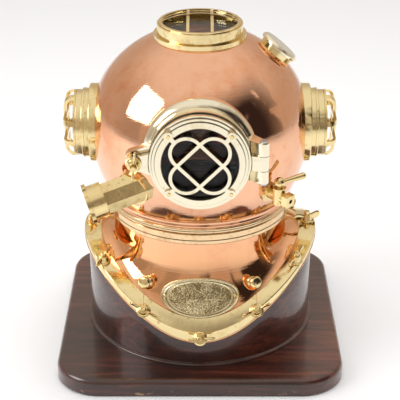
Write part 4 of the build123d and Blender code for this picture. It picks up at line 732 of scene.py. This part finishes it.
dome_faces = np.array(dome_faces[:-2])
centres = dome_points[dome_faces].mean(axis=1)
in_door = (np.hypot(centres[:, 0], centres[:, 2] - door_height) < door_hole) & (centres[:, 1] < 0)
in_side = np.hypot(centres[:, 1], centres[:, 2] - equator) < side_hole
dome_shape = (dome_points, dome_faces[~(in_door | in_side)].tolist())
dome_skin = piece("bonnet_copper", dome_shape, copper, "bonnet", "bonnet_shell", sharp=60)
dome_wall = dome_skin.modifiers.new("wall", "SOLIDIFY")
dome_wall.thickness = 0.0024
dome_wall.offset = -1

# Front door: a cast brass ring that swings on a two-knuckle hinge, over a seat that is fitted and
# soldered to the dome. Faces are turned bright; the cast ears and knuckles are filed by hand.
bright_brass, bright_dull = (0.94, 0.86, 0.66), (0.84, 0.72, 0.47)
guard_brass = brass_finish("guard_brass", bright_brass, bright_dull, 0.12, 0.25)


def door_shade_and_polish(place):
    """Painted shade, with dried polish, at the steps of the door's face and in the joint between the door and
    its seat.
    """
    radius = (place.part(0) ** 2.0 + (place.part(2) - door_height) ** 2.0) ** 0.5
    marks = radius.near(0.0659, 0.0011) + radius.near(0.0623, 0.0006) + radius.near(0.0582, 0.0007)
    return marks + radius.near(0.0498, 0.0006)


# The door and its seat are painted near black at their steps and joint: painted shade, with dried polish.
door_brass = brass_finish("turned_brass", bright_brass, bright_dull, 0.12, 0.25, door_shade_and_polish)
glass, glass_shader, glass_place = finish_material("window_glass")
glass_smear = glass_place.noise(30.0, 3.0)
glass_shader.inputs["Base Color"].default_value = (0.36, 0.39, 0.44, 1)
glass_shader.inputs["Transmission Weight"].default_value = 1.0
glass_shader.inputs["IOR"].default_value = 1.3
glass_shader.inputs["Specular IOR Level"].default_value = 0.4
feed(glass_shader, "Roughness", glass_smear * 0.06 + 0.01)
softened("door_seat_cast", "door_seat", door_brass, "bonnet", 0.0008)
softened("door_frame_cast", "door_frame", door_brass, "front_door", 0.0007)
softened("door_guard_cast", "door_guard", guard_brass, "front_door", 0.0007)
softened("door_guard_screws_turned", "door_guard_screws", cast_brass, "front_door", 0.0004)
finished("door_gasket", leather)
finished("door_glass_ring", door_brass)
finished("door_glass", glass)
latch_turn = np.radians(96)
latch_place = (-0.084, -0.1645, door_height)
latch_seat = (latch_place, (0, -1, 0), (np.cos(latch_turn), 0, -np.sin(latch_turn)))
piece("latch_nut_cast", gathered(wing_nut(latch_seat)), cast_brass, "latch_wing_nut", "latch_wing_nut")
softened("latch_bolt_turned", "latch_bolt", cast_brass, "latch_bolt", 0.0005)

# Side and crown windows: turned brass seats and screwed rings over plate glass, each under a cast
# guard. The rings are flared where they meet their seats and have a groove for the key.
for hand in ("right", "left"):
    softened(f"{hand}_seat_cast", f"{hand}_window_seat", brass, "bonnet", 0.0008)
    softened(f"{hand}_ring_turned", f"{hand}_window_ring", brass, "bonnet", 0.0007)
    softened(f"{hand}_guard_cast", f"{hand}_window_guard", cast_brass, "bonnet", 0.0007)
    finished(f"{hand}_window_gasket", leather)
    finished(f"{hand}_window_glass", glass)
softened("crown_seat_cast", "crown_window_seat", brass, "bonnet", 0.0008)
softened("crown_ring_turned", "crown_window_ring", brass, "bonnet", 0.0007)
softened("crown_guard_cast", "crown_window_guard", brass, "bonnet")
finished("crown_window_gasket", leather)
finished("crown_window_glass", glass)

# Fittings soldered to the dome: the round telephone cap, the exhaust valve, the spitcock and the
# two elbows at the back. All are cast in brass and turned where they screw together.
softened("telephone_cup_cast", "telephone_cup", brass, "bonnet")
softened("telephone_cap_turned", "telephone_cup_cap", guard_brass, "bonnet", 0.0006, 3)
softened("exhaust_body_cast", "exhaust_body", cast_brass, "bonnet")
softened("exhaust_cap_cast", "exhaust_cap", cast_brass, "exhaust_cap", 0.0008)
finished("exhaust_disc", cast_brass)
softened("spitcock_body_cast", "spitcock_body", cast_brass, "bonnet")
softened("spitcock_plug_turned", "spitcock_plug", cast_brass, "spitcock", 0.0004)
softened("spitcock_lever_turned", "spitcock_lever", cast_brass, "spitcock", 0.0004)
for name in ("air_elbow", "air_valve", "telephone_elbow", "telephone_nut", "telephone_plug"):
    softened(f"{name}_cast", name, cast_brass, "bonnet")
finished("air_valve_flap", leather)
